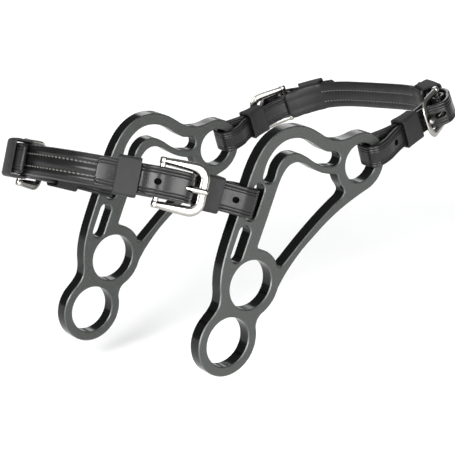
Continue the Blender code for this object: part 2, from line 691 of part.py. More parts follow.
def build():
    """Make every piece."""
    for obj in list(bpy.data.objects):
        bpy.data.objects.remove(obj)
    scene = bpy.context.scene
    parts = bpy.data.collections.new("hackamore")
    cutters = bpy.data.collections.new("cutters")
    scene.collection.children.link(parts)
    scene.collection.children.link(cutters)

    make_plate("shank_right", -1, parts, make_material("plate"))
    make_plate("shank_left", 1, parts, make_material("plate"))

    for band in BANDS:
        ends = []
        punches = []
        for side in ("right", "left"):
            axes = buckle_axes(band, side)
            place = matrix_of(axes[0], axes[1], axes[2], axes[3])
            ends.append((side, axes, place))
            low, high = prong_hole(band, side, axes)
            label = band + "_hole_" + side
            punches.append(tongue_cutter(label, band, side, low, high, cutters))
            middle = (low + high) / 2
            for k in (-2, -1, 1):
                e = middle + k * HOLE_PITCH
                if 8.0 < e < ENDS[(band, side)]["tip"] - 8.0 and abs(e - middle) > 12.0:
                    spare = hole_cutter(label + "_spare_" + str(k + 3), band, side, e - HOLE_RADIUS,
                                        e + HOLE_RADIUS, HOLE_RADIUS, STRAP_THICK / 2 + 0.25, cutters)
                    punches.append(spare)

        strap = ribbon(band + "_strap", band, strap_path(band), STRAP_THICK, parts, make_material("strap"))
        for punch in punches:
            boolean(strap, punch, "DIFFERENCE")
        shade_smooth(strap, 40)

        right = ENDS[(band, "right")]
        left = ENDS[(band, "left")]
        first = right["pivot"] - 3.0
        last = from_plate(band, "left", left["pivot"] - 3.0)
        count = int((last - first) / 2.5)
        stations = np.linspace(first, last, count + 1)
        rows = np.c_[stations, np.full(count + 1, PAD_N), np.full(count + 1, PAD_WIDTH / 2)]
        pad = ribbon(band + "_pad", band, rows, PAD_THICK, parts, make_material("pad"))

        for side, axes, place in ends:
            end = ENDS[(band, side)]
            make_frame(band + "_buckle_" + side, band, place, parts, make_material("steel"))
            make_prong(band + "_prong_" + side, band, place, parts, make_material("steel"))
            make_chape(band + "_chape_" + side, band, side, place, parts, cutters, make_material("strap"))

            def leg_top(e, key=(band, side)):
                p = leg_points(key[0], key[1])
                return np.interp(e - SLIDE_TRAVEL, p[8:, 0], p[8:, 1]) + STRAP_THICK / 2 + KEEPER_PLAY

            rows = sleeve_rows(band, side, end["sliding"], lambda e: -leg_top(e), leg_top)
            half = BANDS[band]["strap"] / 2 + KEEPER_PLAY + KEEPER_WALL / 2
            slider = sleeve(band + "_keeper_sliding_" + side, band, rows, half, parts,
                            make_material("keeper"))
            middle = (end["sliding"][0] + end["sliding"][1]) / 2
            s = from_plate(band, side, middle)
            c = band_place(band, s, 0.0, 0.0)
            x = band_place(band, from_plate(band, side, middle + 1.0), 0.0, 0.0) - c
            x /= np.linalg.norm(x)
            z = band_place(band, s, 1.0, 0.0) - c
            z -= x * np.dot(z, x)
            z /= np.linalg.norm(z)
            set_origin(slider, matrix_of(c, x, np.cross(z, x), z))
            shade_smooth(slider, 40)

            def billet_top(e, key=(band, side)):
                return billet_n(key[0], key[1], e) + STRAP_THICK / 2 + GAP + 0.15

            def strap_back(e):
                return -(2 * GAP + STRAP_THICK)

            rows = sleeve_rows(band, side, end["fixed"], strap_back, billet_top)
            half = BANDS[band]["fixed_half"]
            fixed = sleeve(band + "_keeper_fixed_" + side, band, rows, half, parts,
                           make_material("keeper"))
            shade_smooth(fixed, 40)
            seat = np.linspace(end["fixed"][0] - GAP, end["fixed"][1] + GAP, 8)
            seat = [from_plate(band, side, e) for e in seat]
            low = -(3 * GAP + STRAP_THICK + KEEPER_WALL)
            depth = -low - 2.0
            rows = np.c_[seat, np.full(8, low + depth / 2), np.full(8, 14.0)]
            groove = ribbon(band + "_groove_" + side, band, rows, depth, cutters)
            bpy.context.view_layer.update()
            hide_cutter(groove)
            boolean(pad, groove, "DIFFERENCE")
        shade_smooth(pad, 40)


build()
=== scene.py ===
"""A hackamore: two black anodised cheek plates joined by a buckled noseband and a buckled chin strap.

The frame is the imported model's: +X to the horse's nose, +Y to its left, +Z up, origin between the
cheekpiece slots.  Lengths are in millimetres and become metres when a mesh is made.
"""
import math

import bmesh
import bpy
import numpy as np
from mathutils.geometry import tessellate_polygon
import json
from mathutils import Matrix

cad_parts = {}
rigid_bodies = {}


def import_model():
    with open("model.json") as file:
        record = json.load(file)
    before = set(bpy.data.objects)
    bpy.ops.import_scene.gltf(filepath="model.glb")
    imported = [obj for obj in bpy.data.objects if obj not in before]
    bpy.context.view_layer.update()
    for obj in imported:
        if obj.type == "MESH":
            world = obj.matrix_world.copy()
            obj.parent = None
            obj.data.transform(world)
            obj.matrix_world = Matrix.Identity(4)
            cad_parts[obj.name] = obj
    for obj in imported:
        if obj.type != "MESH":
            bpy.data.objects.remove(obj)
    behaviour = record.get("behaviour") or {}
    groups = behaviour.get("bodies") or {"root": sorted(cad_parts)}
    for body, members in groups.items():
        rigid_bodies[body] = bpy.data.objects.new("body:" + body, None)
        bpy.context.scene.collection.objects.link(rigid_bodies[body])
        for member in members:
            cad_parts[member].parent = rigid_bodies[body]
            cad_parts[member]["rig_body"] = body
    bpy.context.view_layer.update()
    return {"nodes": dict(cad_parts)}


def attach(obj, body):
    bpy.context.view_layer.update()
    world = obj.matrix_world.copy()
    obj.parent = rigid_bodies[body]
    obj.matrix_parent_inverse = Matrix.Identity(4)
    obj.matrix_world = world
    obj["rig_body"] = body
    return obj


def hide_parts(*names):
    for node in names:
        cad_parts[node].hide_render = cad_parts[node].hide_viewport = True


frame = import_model()


# Cheek plates.  Each is cut from flat 8 mm aluminium plate, bead blasted on its two faces, cut clean on its
# edges with a small chamfer, and then anodised black.  Nothing is fixed to it: the straps run through it.
MM = 0.001
PLATE_THICK = 8.0
PLATE_PITCH = 133.0
PLATE_DROP = 22.6
CHAMFER = 0.55
ORIGIN_U = 45.0
ORIGIN_V = 102.0
REIN_RING = (0.0, 0.0, 14.0, 19.6)
MID_RING = (15.5, 29.4, 14.0, 20.0)
NOSE_RING = (92.6, 83.8, 11.2, 17.3)
NOTCH_FILLET = 8.0
SLOT_ANGLE = 23.4
SLOT_WIDTH = 8.0
SLOT_LENGTH = 21.0
LOWER_SLOT = (8.75, 53.9)
UPPER_SLOT = (18.2, 75.75)
CHEEK_SLOT_WIDTH = 8.2
CHEEK_SLOT = ((27.9, 88.3), (30.2, 94.2), (34.2, 98.9), (39.2, 101.7), (44.6, 102.3), (50.2, 101.0),
    (56.0, 97.7), (61.2, 93.9), (66.6, 90.9), (73.2, 89.6))
REAR_EDGE = ((-8.3, 19.0), (-5.9, 22.6), (-5.0, 27.5), (-5.1, 33.5), (-4.4, 40.5), (-2.3, 48.5), (2.1, 60.0),
    (7.3, 72.0), (12.4, 84.0), (16.3, 93.0), (20.0, 99.6), (25.0, 105.8), (31.0, 110.2), (38.0, 112.8),
    (45.0, 113.2), (52.0, 111.9), (58.0, 109.2), (63.0, 106.0), (68.0, 102.7), (73.0, 100.5), (79.0, 99.5),
    (84.5, 99.8))
ARM_LOWER_EDGE = ((94.6, 66.2), (90.0, 64.5), (80.0, 60.2), (70.0, 54.8), (60.0, 48.0), (50.0, 40.5),
    (40.0, 30.5), (35.2, 24.2))
WINDOW_UPPER = ((20.35, 50.2), (24.0, 58.6), (28.2, 68.0), (33.0, 79.2), (35.6, 84.6), (38.4, 88.8),
    (41.6, 91.5), (45.2, 92.6), (48.8, 92.2), (52.4, 90.6), (56.3, 88.0), (60.4, 85.4), (65.0, 83.2),
    (70.0, 81.6), (73.6, 80.7))
WINDOW_LOWER = ((80.9, 68.9), (79.2, 66.6), (74.5, 63.7), (67.0, 58.8), (59.0, 53.1), (51.0, 46.9),
    (44.0, 41.1), (38.6, 36.6))
WINDOW_CORNERS = (((75.0, 80.4),), ((80.6, 70.6),), ((37.0, 35.5), (35.2, 35.2), (33.8, 36.4)), ((20.7, 49.0),))
# Where the arcs about the rings start and end, in degrees, on the outer edge and then in the window.
REIN_ARC_END = -232
NOSE_ARC = (105, -72)
MID_ARC_START = -18
WINDOW_NOSE_ARC = (193, 221)
WINDOW_MID_ARC = (29, 72)
CLOSEST_POINTS = 0.05
# Edges that turn by more than so many degrees stay sharp.
PIECE_SHARP = 40.0
PLATE_SHARP = 28.0
PAD_SHARP = 60.0
STITCH_SHARP = 70.0
KEEPER_SHARP = 35.0


def unit(v):
    """The vectors v, each divided by its length."""
    return v / np.linalg.norm(v, axis=-1, keepdims=True)


def arc(centre, r, a0, a1, step=3.0):
    """Points on a circle, centre + r (cos a, sin a), from angle a0 to a1 in degrees."""
    a = np.radians(np.linspace(a0, a1, math.ceil(abs(a1 - a0) / step) + 1))
    return np.c_[centre[0] + r * np.cos(a), centre[1] + r * np.sin(a)]


def smooth(points, count=8):
    """A curve through the points: cubic Hermite spans whose slopes weigh each side by the root of its length."""
    p = np.array(points, float)
    p = np.vstack([2 * p[0] - p[1], p, 2 * p[-1] - p[-2]])
    d = np.sqrt(np.linalg.norm(np.diff(p, axis=0), axis=1))[:, None]
    p0, p1, p2, p3 = p[:-3], p[1:-2], p[2:-1], p[3:]
    d0, d1, d2 = d[:-2], d[1:-1], d[2:]
    m1 = (p2 - p1) + d1 * ((p1 - p0) / d0 - (p2 - p0) / (d0 + d1))
    m2 = (p2 - p1) + d1 * ((p3 - p2) / d2 - (p3 - p1) / (d1 + d2))
    t = np.linspace(0, 1, count + 1)[:-1, None, None]
    spans = ((2 * t**3 - 3 * t**2 + 1) * p1 + (t**3 - 2 * t**2 + t) * m1
             + (3 * t**2 - 2 * t**3) * p2 + (t**3 - t**2) * m2)
    return np.vstack([spans.transpose(1, 0, 2).reshape(-1, p.shape[1]), p[-2]])


def plate_outline():
    """The outer edge, anticlockwise: arcs about the three rings, with smooth edges between, and a fillet in
    the notch whose centre lies its own radius off both lower rings.  Points are x + iy here."""
    rein, mid = complex(*REIN_RING[:2]), complex(*MID_RING[:2])
    span, near, far = abs(mid - rein), REIN_RING[3] + NOTCH_FILLET, MID_RING[3] + NOTCH_FILLET
    along = (span**2 + near**2 - far**2) / (2 * span)
    centre = rein + (mid - rein) / span * complex(along, -math.sqrt(near**2 - along**2))
    to_mid, to_rein = np.angle([mid - centre, rein - centre], deg=True) % 360
    notch = arc((centre.real, centre.imag), NOTCH_FILLET, to_mid, to_rein, 6)
    rein = arc(REIN_RING, REIN_RING[3], to_rein - 180, REIN_ARC_END)
    nose = arc(NOSE_RING, NOSE_RING[3], *NOSE_ARC)
    mid = arc(MID_RING, MID_RING[3], MID_ARC_START, to_mid - 180)
    rear = smooth([rein[-1], *REAR_EDGE, nose[0]])
    arm = smooth([nose[-1], *ARM_LOWER_EDGE, mid[0]])
    return np.vstack([p[:-1] for p in (rein, rear, nose, arm, mid, notch)])


def plate_window():
    """The large opening: smooth edges and arcs about the nose ring and the middle ring, with smooth corners."""
    edges = [smooth(WINDOW_UPPER), arc(NOSE_RING, NOSE_RING[3], *WINDOW_NOSE_ARC), smooth(WINDOW_LOWER),
             arc(MID_RING, MID_RING[3], *WINDOW_MID_ARC)]
    parts = []
    for edge, corner, after in zip(edges, WINDOW_CORNERS, edges[1:] + edges[:1]):
        parts += [edge[:-1], smooth([edge[-1], *corner, after[0]])[:-1]]
    return np.vstack(parts)


def slot_outline(centre):
    """A straight slot with round ends, leaning forward at the top."""
    a = math.radians(SLOT_ANGLE)
    h = (SLOT_LENGTH - SLOT_WIDTH) / 2
    x, y = h * math.sin(a), h * math.cos(a)
    return np.vstack([arc((centre[0] + k * x, centre[1] + k * y), SLOT_WIDTH / 2, turn - SLOT_ANGLE,
                          turn + 180 - SLOT_ANGLE, 6) for k, turn in ((1, 0), (-1, 180))])


def cheek_slot_outline():
    """The curved slot for the cheekpiece: its middle line moved half its width to each side, with round ends."""
    p = smooth(CHEEK_SLOT)
    t = unit(np.gradient(p, axis=0))
    n = np.c_[-t[:, 1], t[:, 0]] * CHEEK_SLOT_WIDTH / 2
    a0, a1 = (math.degrees(math.atan2(v[1], v[0])) for v in (t[0], t[-1]))
    end = arc(p[-1], CHEEK_SLOT_WIDTH / 2, a1 - 90, a1 + 90, 6)
    start = arc(p[0], CHEEK_SLOT_WIDTH / 2, a0 + 90, a0 + 270, 6)
    return np.vstack([p - n, end[1:-1], (p + n)[::-1], start[1:-1]])


def tube_faces(rows, columns, ends=True):
    """Quads between the rows of a grid whose columns join round, and a face across each end."""
    i, j = np.meshgrid(np.arange(rows - 1), np.arange(columns), indexing="ij")
    k = (j + 1) % columns
    quads = np.stack([i * columns + j, i * columns + k, (i + 1) * columns + k, (i + 1) * columns + j], -1)
    faces = quads.reshape(-1, 4).tolist()
    if ends:
        faces += [list(range(columns))[::-1], list(range((rows - 1) * columns, rows * columns))]
    return faces


def shade(mesh, sharp):
    """Shade a mesh smooth, but not over edges that turn by more than this many degrees."""
    mesh.shade_smooth()
    mesh.set_sharp_from_angle(angle=math.radians(sharp))


def new_object(name, data):
    """An object in the scene, with this mesh, lamp or camera."""
    obj = bpy.data.objects.new(name, data)
    bpy.context.scene.collection.objects.link(obj)
    return obj


def new_piece(name, points, faces, sharp=PIECE_SHARP):
    """An object from points in mm and faces, turned outward if its volume comes out negative."""
    mesh = bpy.data.meshes.new(name)
    mesh.from_pydata((np.asarray(points).reshape(-1, 3) * MM).tolist(), [], faces)
    work = bmesh.new()
    work.from_mesh(mesh)
    if work.calc_volume(signed=True) < 0:
        bmesh.ops.reverse_faces(work, faces=work.faces)
    work.to_mesh(mesh)
    work.free()
    shade(mesh, sharp)
    return new_object(name, mesh)


def plate_piece(name, side):
    """A plate: along each outline the edge profile face, chamfer, wall, chamfer, face is carried, and the
    two flat faces are filled between the outlines.  Metal lies on the left of every outline's travel."""
    loops = [plate_outline(), plate_window(), cheek_slot_outline(), slot_outline(LOWER_SLOT),
             slot_outline(UPPER_SLOT)]
    loops += [arc(r, r[2], 0, 357) for r in (REIN_RING, MID_RING, NOSE_RING)]
    half = PLATE_THICK / 2
    profile = np.array([(CHAMFER, -half), (0, CHAMFER - half), (0, half - CHAMFER), (CHAMFER, half)])
    points, faces, kinds, rims, base = [], [], [], [], 0
    for number, p in enumerate(loops):
        p = p[np.linalg.norm(p - np.roll(p, 1, axis=0), axis=1) > CLOSEST_POINTS]
        after = np.roll(p, -1, axis=0)
        area = np.sum(p[:, 0] * after[:, 1] - p[:, 1] * after[:, 0])
        if (area > 0) != (number == 0):
            p = p[::-1]
        t = unit(np.roll(p, -1, axis=0) - np.roll(p, 1, axis=0))
        void = np.c_[t[:, 1], -t[:, 0]]
        flat = p[None] - void[None] * profile[:, None, :1]
        depth = np.broadcast_to(profile[:, None, 1:], flat.shape[:2] + (1,))
        points.append(np.concatenate([flat[..., :1], depth, flat[..., 1:]], -1).reshape(-1, 3))
        rims.append((base, len(p), flat[0]))
        faces += (base + np.array(tube_faces(4, len(p), False))[:, [0, 3, 2, 1]]).tolist()
        kinds += np.repeat([1, 2, 1], len(p)).tolist()
        base += 4 * len(p)
    outline = np.concatenate([r[2] for r in rims])
    front = np.concatenate([r[0] + np.arange(r[1]) for r in rims])
    back = np.concatenate([r[0] + 3 * r[1] + np.arange(r[1]) for r in rims])
    fill = np.array(tessellate_polygon([[(x, y, 0.0) for x, y in r[2]] for r in rims]))
    a, b, c = (outline[fill[:, k]] for k in range(3))
    turned = np.cross(b - a, c - a) < 0
    fill[turned] = fill[turned][:, ::-1]
    faces += front[fill].tolist() + back[fill[:, ::-1]].tolist()
    kinds += [0] * (2 * len(fill))
    points = np.concatenate(points) + (-ORIGIN_U, side * PLATE_PITCH / 2, -ORIGIN_V - side * PLATE_DROP / 2)
    plate = new_piece(name, points, faces, PLATE_SHARP)
    plate.data.polygons.foreach_set("material_index", kinds)
    return plate


def linear(code):
    """The linear colour of an sRGB hex code: each channel c is c/12.92 when low, else ((c+0.055)/1.055)^2.4."""
    c = np.array([int(code[k:k + 2], 16) for k in (1, 3, 5)]) / 255.0
    c = np.where(c <= 0.04045, c / 12.92, ((c + 0.055) / 1.055)**2.4)
    return (*c.tolist(), 1.0)


def add(finish, kind, inputs, to=None, output=0, **settings):
    """Add a node to a finish: its settings, its inputs as values, sRGB codes or other nodes' outputs, and the
    shader's socket that its output feeds.  It gives back that output."""
    tree = finish.node_tree
    node = tree.nodes.new("ShaderNode" + kind)
    for key, value in settings.items():
        setattr(node, key, value)
    for key, value in inputs.items():
        if isinstance(value, bpy.types.NodeSocket):
            tree.links.new(value, node.inputs[key])
        else:
            node.inputs[key].default_value = linear(value) if isinstance(value, str) else value
    if to:
        tree.links.new(node.outputs[output], tree.nodes["Principled BSDF"].inputs[to])
    return node.outputs[output]


def new_finish(name, colour, **sockets):
    """A finish whose shader has this colour and these uniform values, and the object's own coordinates in it."""
    finish = bpy.data.materials.new(name)
    finish.use_nodes = True
    shader = finish.node_tree.nodes["Principled BSDF"]
    for key, value in {"Base_Color": linear(colour), **sockets}.items():
        shader.inputs[key.replace("_", " ")].default_value = value
    finish.diffuse_color = linear(colour)
    return finish, add(finish, "TexCoord", {}, output="Object")


# Most of a noise texture's values lie between these two.
NOISE_SPAN = (0.3, 0.7)


def noise(finish, where, scale, detail, rough=0.5):
    """A noise texture's value."""
    return add(finish, "TexNoise", {"Vector": where, "Scale": scale, "Detail": detail, "Roughness": rough})


def tint(finish, share, low, high):
    """The colour of a finish goes from low to high with a share."""
    add(finish, "Mix", {0: share, 6: low, 7: high}, "Base Color", 2, data_type="RGBA")


def spread(finish, value, low, high, span=NOISE_SPAN, to="Roughness"):
    """Low to high as a value goes through its span, fed to a socket of the shader."""
    return add(finish, "MapRange", {"Value": value, "From Min": span[0], "From Max": span[1],
                                    "To Min": low, "To Max": high}, to)


def place(obj, node, slot, *finishes):
    """Put a piece where a node is: on the node's body, in its stead, with the finishes. The slot is not used."""
    for finish in finishes:
        obj.data.materials.append(finish)
    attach(obj, frame["nodes"][node]["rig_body"])
    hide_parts(node)


# Bead-blasted anodised aluminium: an even dark grey in soft light, with a fine grain of pits.  The real grit
# is 0.1 mm; it is drawn at 0.45 mm so that it shows.
blasted, where = new_finish("bead_blasted_black_anodised_aluminium", "#3f413f", Metallic=0.55, Roughness=0.5)
grit = noise(blasted, where, 2200.0, 3.0, 0.6)
cloud = noise(blasted, where, 45.0, 2.0)
tone = spread(blasted, grit, 0, 1, to=None)
tint(blasted, tone, "#2e302e", "#484a48")
spread(blasted, cloud, 0.46, 0.56)
add(blasted, "Bump", {"Height": grit, "Strength": 0.25, "Distance": 0.00008}, "Normal")

# The chamfer is milled after blasting, so it is smoother; its lighter grey is a painted highlight, a thin light
# line along the edges.
chamfer_painted_highlight, where = new_finish("milled_chamfer_painted_highlight_black_anodised_aluminium", "#5c5e5d", Metallic=0.85, Roughness=0.3)
nick = noise(chamfer_painted_highlight, where, 260.0, 3.0, 0.7)
spread(chamfer_painted_highlight, nick, 0.24, 0.4, (0.35, 0.7))

# The cut walls are smooth with a clear gloss; their near-black colour, darker than the faces, is painted shade for
# walls turned from the light.
wall_painted_shade, where = new_finish("cut_wall_painted_shade_black_anodised_aluminium", "#050505", Roughness=0.16, Specular_IOR_Level=0.24)
streak = noise(wall_painted_shade, where, 500.0, 2.0)
spread(wall_painted_shade, streak, 0.12, 0.22)

for label, side in (("right", -1), ("left", 1)):
    place(plate_piece(label + "_cheek_plate", side), "shank_" + label, "plate", blasted, chamfer_painted_highlight, wall_painted_shade)


# Straps.  Each is one length of black bridle leather, 2.5 mm thick, with two creased lines beside each edge;
# the chin strap is wider.  It runs round the nose or chin, through the plates, and back over each buckle.
GAP = 0.3
STRAP_THICK = 2.5
PAD_THICK = 3.5
CHAPE_THICK = 2.0
PLATE_CLEARANCE = 1.6
STITCH_ROW = 3.3
STITCH_START = 26.0
TWIST_START = 10.0
TWIST_RUN = 50.0
BAR_RADIUS = 1.6
PRONG_RADIUS = 1.2
PRONG_RING = BAR_RADIUS + GAP + PRONG_RADIUS
# Names in _N are distances outward from a band's middle line to the middle of the thing named.
LEG_N = GAP + STRAP_THICK / 2
TAIL_N = CHAPE_THICK + GAP + STRAP_THICK / 2
FLARE_N = PLATE_THICK / 2 + PLATE_CLEARANCE + STRAP_THICK / 2
PIVOT_N = PRONG_RING + PRONG_RADIUS + 0.4
CREST_N = PIVOT_N + PRONG_RING + PRONG_RADIUS + GAP + STRAP_THICK / 2
SHEAR = -PLATE_DROP / PLATE_PITCH
# reach is how far a band goes from the plates and power how square it is there; bend and turn are the place
# and radius of its bend in the plate; the others are widths, half widths and the buckle frame's length.
BANDS = {
    "noseband": {"forward": 1, "x": NOSE_RING[0] - ORIGIN_U, "z": NOSE_RING[1] - ORIGIN_V,
                 "rise": 0.303, "reach": 79.0, "power": 4.1, "bend": 7.1, "turn": 4.4, "strap": 13.2,
                 "chape": 12.6, "fixed_half": 7.95, "frame_half": 9.7, "frame_length": 21.0},
    "chinstrap": {"forward": -1, "x": UPPER_SLOT[0] - ORIGIN_U - 0.3, "z": UPPER_SLOT[1] - ORIGIN_V - 0.7,
                  "rise": 0.385, "reach": 92.5, "power": 2.28, "bend": 1.15, "turn": 4.0, "strap": 16.0,
                  "chape": 15.4, "fixed_half": 9.8, "frame_half": 11.5, "frame_length": 23.5},
}
# Distances along a band from its plate: sliding keeper, buckle, fixed keeper, tip, and flare of the two legs;
# bar_n is how far outward the buckle's end bar lies.
ENDS = {
    ("noseband", "right"): {
        "sliding": (34.0, 47.0), "pivot": 69.2, "bar_n": 6.6, "fixed": (80.5, 94.0), "tip": 101.5,
        "flare": ((15.5, 1.0), (19.0, 0.9), (24.0, 0.58), (30.0, 0.28), (36.0, 0.08), (42.0, 0.0))},
    ("noseband", "left"): {
        "sliding": (28.4, 40.6), "pivot": 59.8, "bar_n": 8.6, "fixed": (69.0, 82.5), "tip": 90.0,
        "flare": ((15.5, 1.0), (18.5, 0.9), (22.0, 0.6), (26.0, 0.32), (30.5, 0.1), (35.5, 0.0))},
    ("chinstrap", "right"): {
        "sliding": (22.8, 35.0), "pivot": 58.6, "bar_n": 7.6, "fixed": (69.0, 80.2), "tip": 90.0,
        "flare": ((8.0, 1.0), (10.5, 0.94), (14.5, 0.58), (19.0, 0.2), (24.0, 0.03), (30.0, 0.0))},
    ("chinstrap", "left"): {
        "sliding": (27.4, 45.0), "pivot": 71.2, "bar_n": 6.9, "fixed": (107.5, 124.5), "tip": 132.5,
        "flare": ((8.0, 1.0), (11.0, 0.94), (16.0, 0.56), (21.0, 0.24), (27.0, 0.05), (33.0, 0.0))},
}


def run_along(p):
    """The distance along a line of points, at each of them."""
    return np.r_[0, np.cumsum(np.linalg.norm(np.diff(p, axis=0), axis=1))]


def read_off(x, at, line):
    """The points of a line at the places x, where its own points are at the places at."""
    return np.stack([np.interp(x, at, column) for column in line.T], -1)


def eased(x):
    """x held between 0 and 1 and softened at both: x * x * (3 - 2 x)."""
    x = np.clip(x, 0, 1)
    return x * x * (3 - 2 * x)


def end_inset(d, radius):
    """How far a round edge draws in at distance d from an end: radius * (1 - sqrt(1 - (1 - d / radius)^2))."""
    return radius * (1 - np.sqrt(np.clip(1 - (1 - d / radius)**2, 0, 1))) * (d < radius)


def band_table(band):
    """The middle line of a band at even steps: distance, point and direction.  In plan it is half of
    |y/w|^p + |d/reach|^p = 1; it climbs by rise for each millimetre of d and follows the lower left plate."""
    t = np.linspace(-math.pi / 2, math.pi / 2, 6001)
    y = PLATE_PITCH / 2 * np.sign(np.sin(t)) * np.abs(np.sin(t))**(2 / band["power"])
    d = band["reach"] * np.abs(np.cos(t))**(2 / band["power"])
    p = np.c_[band["x"] + band["forward"] * d, y, band["z"] + band["rise"] * d + SHEAR * y]
    s = run_along(p)
    even = np.linspace(0, s[-1], 601)
    p = read_off(even, s, p)
    return even, p, unit(np.gradient(p, axis=0))


TABLES = {name: band_table(band) for name, band in BANDS.items()}


def band_place(name, s, n, v):
    """The point at distance s along a band, n outward and v up its width.  Up leans back by the rise at the
    plates and turns with the shear over TWIST_RUN, so the strap twists a little there."""
    band = BANDS[name]
    table, points, tangents = TABLES[name]
    s, n, v = np.broadcast_arrays(np.asarray(s, float), n, v)
    c = read_off(s, table, points)
    t = unit(read_off(s, table, tangents))
    w = eased((np.minimum(s, table[-1] - s) - TWIST_START) / TWIST_RUN)[..., None]
    up = np.array([-band["rise"] * band["forward"], 0.0, 1.0]) + w * np.array([0.0, -SHEAR, 0.0])
    up = unit(up - np.sum(up * t, -1, keepdims=True) * t)
    out = band["forward"] * np.cross(t, up)
    return c + out * n[..., None] + up * v[..., None]


def band_axes(name, s):
    """A point of a band's middle line, and the directions outward and up its width there."""
    c = band_place(name, s, 0.0, 0.0)
    return c, band_place(name, s, 1.0, 0.0) - c, band_place(name, s, 0.0, 1.0) - c


def from_plate(name, side, e):
    """Distance along the whole band of a point e from its right or left plate."""
    return e if side == "right" else TABLES[name][0][-1] - e


BEND_POINTS = 11


def leg_points(name, side):
    """One leg of a strap from its bend in the plate to the sliding keeper, as (distance, outward) pairs."""
    radius = BANDS[name]["turn"]
    turn = arc((BANDS[name]["bend"] + radius, FLARE_N - radius), radius, 180, 90, 9)
    spread = [(e, LEG_N + k * (FLARE_N - LEG_N)) for e, k in ENDS[name, side]["flare"]]
    return np.vstack([turn[:-1], smooth([turn[-1], *spread])])


# The free end's height goes by distance and share of the climb, then by distance and height over the end bar,
# and beyond the pivot by share of the way and share of the drop.
CLIMB = ((0.0, 0.12), (2.5, 0.48), (5.0, 0.92))
BAR_CREST = ((7.6, 1.9), (10.4, 2.2))
DESCENT = ((0.5, 0.28), (0.85, 0.7), (1.2, 0.92))
LONGEST_DROP = 12.0


def billet_points(name, side):
    """The free end of a strap, as (distance, outward) pairs: flat beside the other leg, up over the buckle's end
    bar, down beyond its pivot, and flat on the chape to the tip."""
    end = ENDS[name, side]
    pivot = end["pivot"]
    drop = min(end["fixed"][0] - pivot, LONGEST_DROP)
    start = max(end["sliding"][1], end["flare"][-1][0] + 0.5)
    foot = max(buckle_axes(name, side)[4] + 2.2, start + 1.2)
    climb, fall = CREST_N - LEG_N, CREST_N - TAIL_N
    marks = [(start, LEG_N), ((start + foot) / 2, LEG_N + 0.03 * climb)]
    marks += [(foot + e, LEG_N + k * climb) for e, k in CLIMB]
    marks += [(foot + e, CREST_N + h) for e, h in BAR_CREST]
    marks += [((marks[-1][0] + pivot) / 2, CREST_N + 1.5), (pivot - 0.6, CREST_N + 0.3),
              (pivot + 1.8, CREST_N - 0.05)]
    marks += [(pivot + e * drop, CREST_N - k * fall) for e, k in DESCENT]
    marks.append((marks[-1][0] + 6.0, TAIL_N))
    return np.vstack([smooth(marks), [(end["tip"], TAIL_N)]])


# Rows lie at TIP_ROWS near a tip, and elsewhere one for each ROW_STEP of length or ROW_TURN degrees of bend.
TIP_ZONE = 5.0
TIP_ROWS = np.array([0.0, 0.12, 0.4, 0.8, 1.2, 1.6, 2.6, 4.0])
TIP_CLIP = 1.6
TIP_ROUND = 0.6
ROW_STEP = 1.3
ROW_TURN = 7.0


def strap_path(name):
    """The whole strap from its right tip to its left tip as (s, n, half width, inset) rows.  The tips have
    clipped corners and an edge rounded by the inset."""
    rows = []
    for side in ("right", "left"):
        leg = leg_points(name, side)
        outer = np.vstack([leg[:-1], billet_points(name, side)])
        line = np.vstack([outer[::-1], np.c_[leg[:, 0], -leg[:, 1]]])
        line[:, 0] = from_plate(name, side, line[:, 0])
        rows.append(line if side == "right" else line[::-1])
    line = np.vstack(rows)
    p = band_place(name, line[:, 0], line[:, 1], 0.0)
    step = np.diff(p, axis=0)
    length = np.linalg.norm(step, axis=1)
    way = step / length[:, None]
    turn = np.degrees(np.arccos(np.clip(np.sum(way[1:] * way[:-1], 1), -1, 1)))
    far = np.r_[0, np.cumsum(length)]
    cost = np.r_[0, np.cumsum(length / ROW_STEP + np.r_[0, turn] / ROW_TURN)]
    run = np.interp(np.linspace(0, cost[-1], int(cost[-1])), cost, far)
    keep = (run > TIP_ZONE) & (run < run[-1] - TIP_ZONE)
    run = np.r_[TIP_ROWS, run[keep], (run[-1] - TIP_ROWS)[::-1]]
    at = np.interp(run, far, np.arange(len(p)))
    s, n = read_off(at, np.arange(len(p)), line).T
    from_tip = np.minimum(run, run[-1] - run)
    wide = BANDS[name]["strap"] / 2
    return s, n, np.minimum(wide, wide - TIP_CLIP + from_tip), end_inset(from_tip, TIP_ROUND)


def moving_frame(name, s, n):
    """Centre, width direction and face direction of a strip along (s, n): the face direction is the width
    direction crossed with the line's own direction."""
    c = band_place(name, s, n, 0.0)
    wide = band_place(name, s, n, 1.0) - c
    return c, wide, unit(np.cross(wide, unit(np.gradient(c, axis=0))))


def strip_piece(name, line, v, z, sharp=PIECE_SHARP):
    """A strip whose rows of points lie v across and z off its line of centres, width and face directions."""
    c, wide, face = (part[:, None] for part in line)
    return new_piece(name, c + wide * v[..., None] + face * z[..., None], tube_faces(*v.shape), sharp)


def stitched(name, s):
    """1 where a band is stitched to its lining, 0 at its buckled ends, with a soft change."""
    end = TABLES[name][0][-1]
    low = ENDS[name, "right"]["pivot"] + STITCH_START - 2.0
    high = end - ENDS[name, "left"]["pivot"] - STITCH_START + 2.0
    return eased(np.minimum(s - low, high - s) / 6.0)


# Each crease starts so far from the edge, and is so wide and so deep; the rows lie across both, and draw in
# together where the strap is narrower than CREASE_HALF to a side.
CREASES = ((1.3, 1.2, 0.34), (3.1, 0.6, 0.2))
CREASE_ROWS = (1.3, 1.5, 1.7, 1.9, 2.1, 2.3, 2.5, 3.1, 3.25, 3.4, 3.55, 3.7)
CREASE_HALF = 7.0
INNER_ROWS = np.array([0.88, 0.76, 0.64, 0.52, 0.38, 0.2])
EDGE_ROUND = 0.9
SWELL = (0.85, 0.5)


